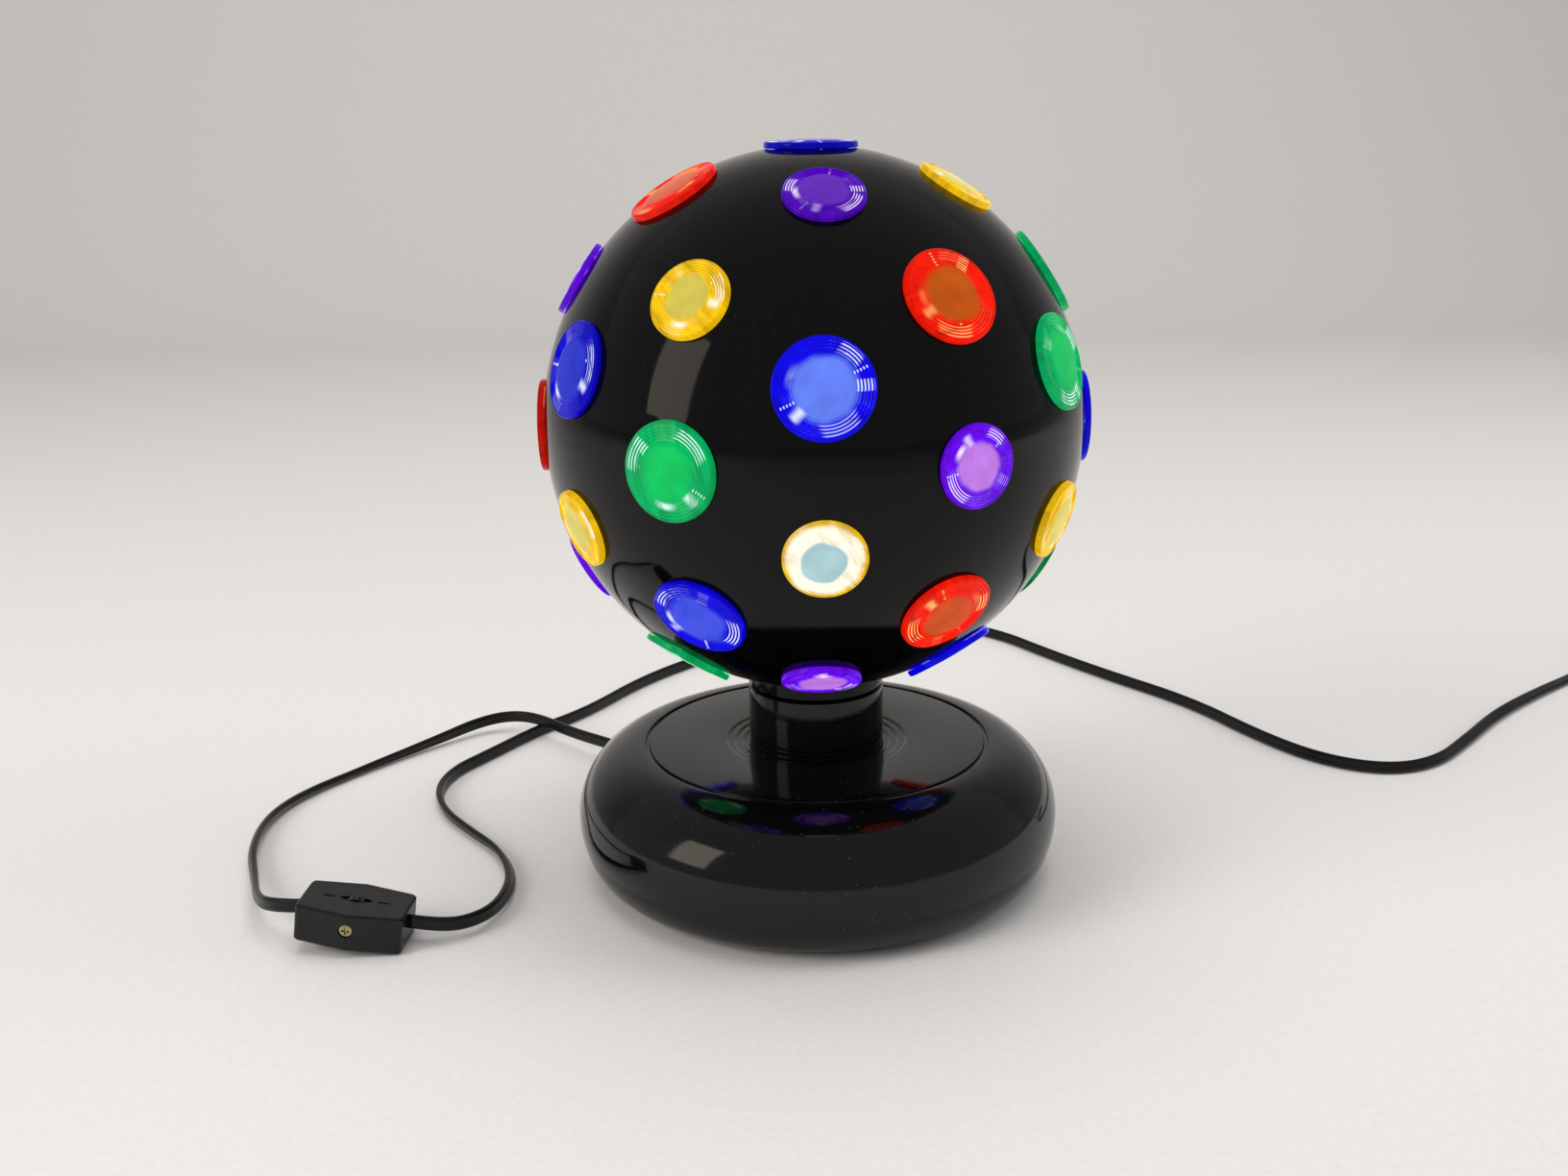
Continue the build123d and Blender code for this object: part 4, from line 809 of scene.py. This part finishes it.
# Lens discs: clear tinted plastic, pressed into round holes in the ball. Each has a rolled
# rim, a band of fine stepped rings round a low dome, and a plug that fills its hole.
ball_radius = 101.5
ball_centre = 181.3
lens_lap = 2.2
lens_seat_gap = 0.05
plug_gap = 0.15
plug_depth = 2.9
plug_chamfer = 0.3
edge_chamfer = 0.2
edge_height = 1.5
disc_height = 2.3
rim_width = 0.7
crown_rise = 0.45
dome_share = 0.62
dome_rise = 0.4
step_count = 5
step_depth = 0.3
lens_columns = 72


def lens_profile(lens_radius):
    """Half outline of one lens, from the plug's middle round the rim to the dome's middle. Over the
    band the height is a straight slope less a saw-tooth, and over the dome it is a parabola."""
    hole = lens_radius - lens_lap
    seat = math.sqrt(ball_radius**2 - hole**2) + lens_seat_gap
    top = seat + disc_height
    plug = hole - plug_gap
    dome = dome_share * lens_radius
    foot = seat - plug_depth
    under = [(0, foot), (plug - plug_chamfer, foot), (plug, foot + plug_chamfer), (plug, seat)]
    under += [(lens_radius - edge_chamfer, seat), (lens_radius, seat + edge_chamfer)]
    under += [(lens_radius, seat + edge_height)]
    roll = np.linspace(0, math.pi / 2, 7)[1:]
    rim_radius = lens_radius - rim_width * (1 - np.cos(roll))
    rim_height = seat + edge_height + (disc_height - edge_height) * np.sin(roll)
    band = np.linspace(1, 0, step_count * 4 + 1)
    saw = step_depth * ((band * step_count) % 1)
    slope = top + crown_rise * (1 - band)
    band_radius = dome + (lens_radius - rim_width - dome) * band
    rise = np.linspace(1, 0, 9)[1:]
    dome_height = top + crown_rise + dome_rise * (1 - rise**2)
    radius = np.concatenate([[point[0] for point in under], rim_radius, band_radius[1:], dome * rise])
    height = np.concatenate([[point[1] for point in under], rim_height, (slope - saw)[1:], dome_height])
    return radius, height


# What shows in a lit lens: a milky middle with a wavering edge, a band shaded by its
# rings, and painted glints, highlights painted where the rings repeat a chip as a row of
# short bars. Each lens has its own painted glints, and the one that a chip shines straight
# through washes out to white.
rim_share = 0.945
lit_inputs = {"Face": None, "Place": None, "Lit": 0.5, "Own": 0.0, "Middle": 0.58, "Soft": 0.08}
lit_outputs = {"Middle": "Float", "Streaks": "Float", "Painted Glints": "Float", "Wash": "Float"}
glow, given, result = shader_group("lit_lens", lit_inputs, lit_outputs)
from_middle = put(glow, "ShaderNodeVectorMath", {0: given["Face"]}, operation="LENGTH").outputs["Value"]
waver = noise(glow, given["Place"], 75.0, 2.0)
wavy_radius = number(glow, "ADD", from_middle, number(glow, "MULTIPLY_ADD", waver, 0.36, -0.18))
inner_edge = number(glow, "SUBTRACT", given["Middle"], given["Soft"])
outer_edge = number(glow, "ADD", given["Middle"], given["Soft"])
in_middle = ramp(glow, wavy_radius, inner_edge, outer_edge, 1.0, 0.0)
glow.links.new(in_middle, result["Middle"])
values = {0: stretched(glow, given["Face"], 1.2, 4.2, 1), 1: stretched(glow, given["Place"], 30, 30, 30)}
flow_place = put(glow, "ShaderNodeVectorMath", values, operation="ADD").outputs["Vector"]
flow = noise(glow, flow_place, 1.0, 3.0, Distortion=0.8)
milk = noise(glow, given["Place"], 130.0, 3.0)
ring_turns = 2 * math.pi * step_count / (rim_share - dome_share)
ring_angle = number(glow, "MULTIPLY_ADD", from_middle, ring_turns, -ring_turns * dome_share)
ring_beat = number(glow, "SINE", ring_angle)
fine_beat = number(glow, "SINE", number(glow, "MULTIPLY", ring_angle, 2.0))
within_rim = ramp(glow, from_middle, 0.92, 0.96, 1.0, 0.0)
on_band = number(glow, "MULTIPLY", ramp(glow, from_middle, 0.55, 0.65), within_rim)
ring_shade = number(glow, "MULTIPLY", number(glow, "MULTIPLY_ADD", fine_beat, 0.4, ring_beat), on_band)
clouded = ramp(glow, milk, 0.25, 0.75, 0.84, 1.14, "LINEAR")
streaked = ramp(glow, flow, 0.28, 0.72, 0.62, 1.2, "LINEAR")
values = {"Factor": in_middle, "A": streaked, "B": clouded}
body_shade = put(glow, "ShaderNodeMix", values, data_type="FLOAT").outputs["Result"]
rim_shade = ramp(glow, from_middle, 0.93, 0.96, 1.0, 0.8)
ringed = number(glow, "MULTIPLY_ADD", ring_shade, 0.17, body_shade)
dimmed = number(glow, "MULTIPLY", rim_shade, ramp(glow, given["Lit"], 0.28, 0.45, 0.5, 1.0))
glow.links.new(number(glow, "MULTIPLY", ringed, dimmed), result["Streaks"])


def own_share(step):
    """A share from 0 to 1 that is one lens's own, for one use of it. Odd steps keep uses apart."""
    place = number(glow, "ADD", given["Own"], step)
    return put(glow, "ShaderNodeTexWhiteNoise", {"W": place}, noise_dimensions="1D").outputs["Value"]


# Painted glints, highlights painted into the glow, each by its angle, half its width, where
# it begins and ends along the lens's radius, and how far the rings cut it into bars, from 0,
# a plain blot, to 1.
bars = ramp(glow, ring_beat, 0.0, 0.45)
painted_glint_kinds = (
    (0.0, 0.13, 0.62, 0.94, 1.0),
    (3.1, 0.16, 0.62, 0.8, 0.0),
    (1.7, 0.42, 0.7, 0.93, 1.0),
    (-1.5, 0.28, 0.72, 0.94, 1.0),
    (-0.7, 0.03, 0.62, 0.92, 1.0),
    (2.5, 0.03, 0.62, 0.9, 1.0),
    (-2.4, 0.3, 0.66, 0.7, 0.0),
)
painted_glint_spread = 1.5
painted_glints = []
for step, (angle, half_width, nearest, furthest, cut) in enumerate(painted_glint_kinds):
    least_turn = angle - painted_glint_spread / 2
    turned_by = number(glow, "MULTIPLY_ADD", own_share(3.7 * step + 1.3), painted_glint_spread, least_turn)
    values = {"Vector": given["Face"], "Angle": turned_by}
    turned = put(glow, "ShaderNodeVectorRotate", values, rotation_type="Z_AXIS")
    parts = put(glow, "ShaderNodeSeparateXYZ", {"Vector": turned.outputs["Vector"]}).outputs
    aside = number(glow, "ABSOLUTE", parts["Y"])
    fade = 0.02 + 0.06 * (1 - cut)
    narrow = ramp(glow, aside, half_width * 0.7 * cut, half_width, 1.0, 0.0)
    begun = ramp(glow, from_middle, nearest - fade, nearest)
    ended = ramp(glow, from_middle, furthest, furthest + fade, 1.0, 0.0)
    patch = number(glow, "MULTIPLY", number(glow, "MULTIPLY", narrow, begun), ended)
    patch = number(glow, "MULTIPLY", patch, ramp(glow, parts["X"], 0.1, 0.3))
    cut_bars = number(glow, "MULTIPLY_ADD", bars, cut, 1.0 - cut)
    strength = ramp(glow, own_share(5.9 * step + 2.1), 0.15, 0.45, 0.2, 1.0)
    painted_glints.append(number(glow, "MULTIPLY", number(glow, "MULTIPLY", patch, cut_bars), strength))
brightest = painted_glints[0]
for painted_glint in painted_glints[1:]:
    brightest = number(glow, "MAXIMUM", brightest, painted_glint)
shown = number(glow, "MULTIPLY", brightest, ramp(glow, flow, 0.3, 0.45, 0.35, 1.0))
glow.links.new(shown, result["Painted Glints"])
wash_end = ramp(glow, wavy_radius, 0.82, 0.98, 1.0, 0.0)
wash_ring = number(glow, "MULTIPLY", ramp(glow, wavy_radius, 0.5, 0.58), wash_end)
wash_lit = number(glow, "MULTIPLY", wash_ring, ramp(glow, given["Lit"], 0.75, 1.0))
glow.links.new(number(glow, "MULTIPLY", wash_lit, ramp(glow, flow, 0.34, 0.5, 0.7, 1.0)), result["Wash"])


def lens_plastic(name, band, middle, painted_glint, middle_share, soft):
    """Clear tinted plastic lit from behind, between its ringed band's and its middle's colours, under
    painted glints.
    """
    material, tree, shader = new_material(name, Emission_Strength=1.0, IOR=1.49, Specular_IOR_Level=0.12)
    face = put(tree, "ShaderNodeUVMap", uv_map="lens_face").outputs["UV"]
    place = put(tree, "ShaderNodeTexCoord").outputs["Object"]
    lit = put(tree, "ShaderNodeAttribute", attribute_name="lit").outputs["Fac"]
    own = put(tree, "ShaderNodeAttribute", attribute_name="own").outputs["Fac"]
    values = {"Face": face, "Place": place, "Lit": lit, "Own": own, "Middle": middle_share, "Soft": soft}
    inside = put(tree, "ShaderNodeGroup", values, node_tree=glow).outputs
    bleached = mixed(tree, ramp(tree, lit, 0.75, 1.0), colour(*middle), colour(168, 202, 208))
    pale = number(tree, "MULTIPLY", inside["Middle"], ramp(tree, lit, 0.3, 0.6, 0.2, 1.0))
    body = mixed(tree, pale, colour(*band), bleached)
    shaded = mixed(tree, 1.0, body, inside["Streaks"], "MULTIPLY")
    washed = mixed(tree, inside["Wash"], shaded, colour(255, 252, 236))
    # Painted glints: the highlight colour laid over the glow where the glint mask is high.
    light = mixed(tree, inside["Painted Glints"], washed, colour(*painted_glint))
    tree.links.new(light, shader.inputs["Emission Color"])
    tree.links.new(mixed(tree, 0.95, body, (0, 0, 0, 1)), shader.inputs["Base Color"])
    smear = noise(tree, place, 70.0, 4.0)
    tree.links.new(ramp(tree, smear, 0.3, 0.7, 0.05, 0.14, "LINEAR"), shader.inputs["Roughness"])
    return material


# The lens kinds, each by its radius, the colours of its band, its middle and its painted
# glints, and the radius and the softness of its middle, as shares of the lens's radius.
large, small = 17.3, 14.5
lens_kinds = {
    "red": (large, (248, 24, 0), (188, 82, 14), (255, 190, 110), 0.56, 0.1),
    "green": (large, (0, 176, 96), (0, 196, 92), (214, 255, 244), 0.56, 0.2),
    "blue": (large, (10, 0, 232), (98, 126, 240), (226, 232, 255), 0.64, 0.1),
    "yellow": (small, (250, 198, 12), (206, 192, 84), (255, 253, 236), 0.58, 0.06),
    "purple": (small, (106, 4, 240), (190, 122, 226), (252, 226, 255), 0.58, 0.08),
}
lens_rows = (
    (90.0, 0.0, ("blue",)),
    (58.5, 3.6, ("purple", "yellow", "blue", "green", "red")),
    (32.5, 31.0, ("red", "green", "blue", "yellow", "purple", "yellow")),
    (16.2, 1.0, ("blue", "green", "red", "purple", "yellow", "blue")),
    (0.0, 31.0, ("purple", "blue", "yellow", "green", "red", "green")),
    (-16.2, 1.0, ("yellow", "yellow", "blue", "green", "red", "yellow")),
    (-32.5, 31.0, ("red", "green", "yellow", "red", "purple", "blue")),
    (-56.0, 1.0, ("purple", "blue", "red", "yellow", "blue", "green")),
)
# How fully a chip shines into each lens that faces the front, by row and place in its row.
# The others run through five steps in turn. Each lens also has its own turn and number.
front_light = {(1, 0): 0.3, (1, 1): 0.6, (1, 4): 0.5, (2, 0): 0.65, (2, 5): 0.55, (3, 0): 0.65}
front_light |= {(3, 1): 0.45, (3, 5): 0.34, (4, 0): 0.65, (4, 5): 0.55, (5, 0): 1.0}
front_light |= {(5, 1): 0.55, (5, 5): 0.55, (6, 0): 0.5, (6, 5): 0.4, (7, 0): 0.65}
least_light, light_range = 0.3, 0.35
for lens_colour, (lens_radius, *look) in lens_kinds.items():
    plastic = lens_plastic("lens_" + lens_colour, *look)
    disc = lathe(*lens_profile(lens_radius), lens_columns)
    discs, faces, lights, owns = [], [], [], []
    for row, (latitude, first, colours) in enumerate(lens_rows):
        for k in [k for k, name in enumerate(colours) if name == lens_colour]:
            lat = math.radians(latitude)
            lon = math.radians(first + 360 * k / len(colours) - 90)
            outward = (math.cos(lat) * math.cos(lon), math.cos(lat) * math.sin(lon), math.sin(lat))
            eastward = (-math.sin(lon), math.cos(lon), 0)
            discs.append(placed(disc, (0, 0, ball_centre), eastward, outward))
            spin = math.radians(47 * k + 23 * (row - 3))
            turn = np.array([[math.cos(spin), math.sin(spin)], [-math.sin(spin), math.cos(spin)]])
            faces.append(disc[..., :2] @ turn / lens_radius)
            in_turn = least_light + light_range * ((7 * row + 3 * k) % 5) / 4
            lights.append(np.full(disc.shape[:2], front_light.get((row, k), in_turn)))
            owns.append(np.full(disc.shape[:2], 1.37 * row + 0.61 * k))
    mesh = merged("lenses_" + lens_colour + "_ringed", discs)
    corner_points = np.zeros(len(mesh.loops), int)
    mesh.loops.foreach_get("vertex_index", corner_points)
    face_map = mesh.uv_layers.new(name="lens_face")
    face_map.data.foreach_set("uv", np.concatenate(faces).reshape(-1, 2)[corner_points].ravel())
    for label, values in (("lit", lights), ("own", owns)):
        attribute = mesh.attributes.new(label, "FLOAT", "POINT")
        attribute.data.foreach_set("value", np.concatenate(values).ravel())
    close_poles(mesh)
    mesh.shade_smooth()
    mesh.set_sharp_from_angle(angle=math.radians(28))
    lenses = show(mesh.name, mesh, plastic)
    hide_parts("lenses_" + lens_colour)
    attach(lenses, "ball")
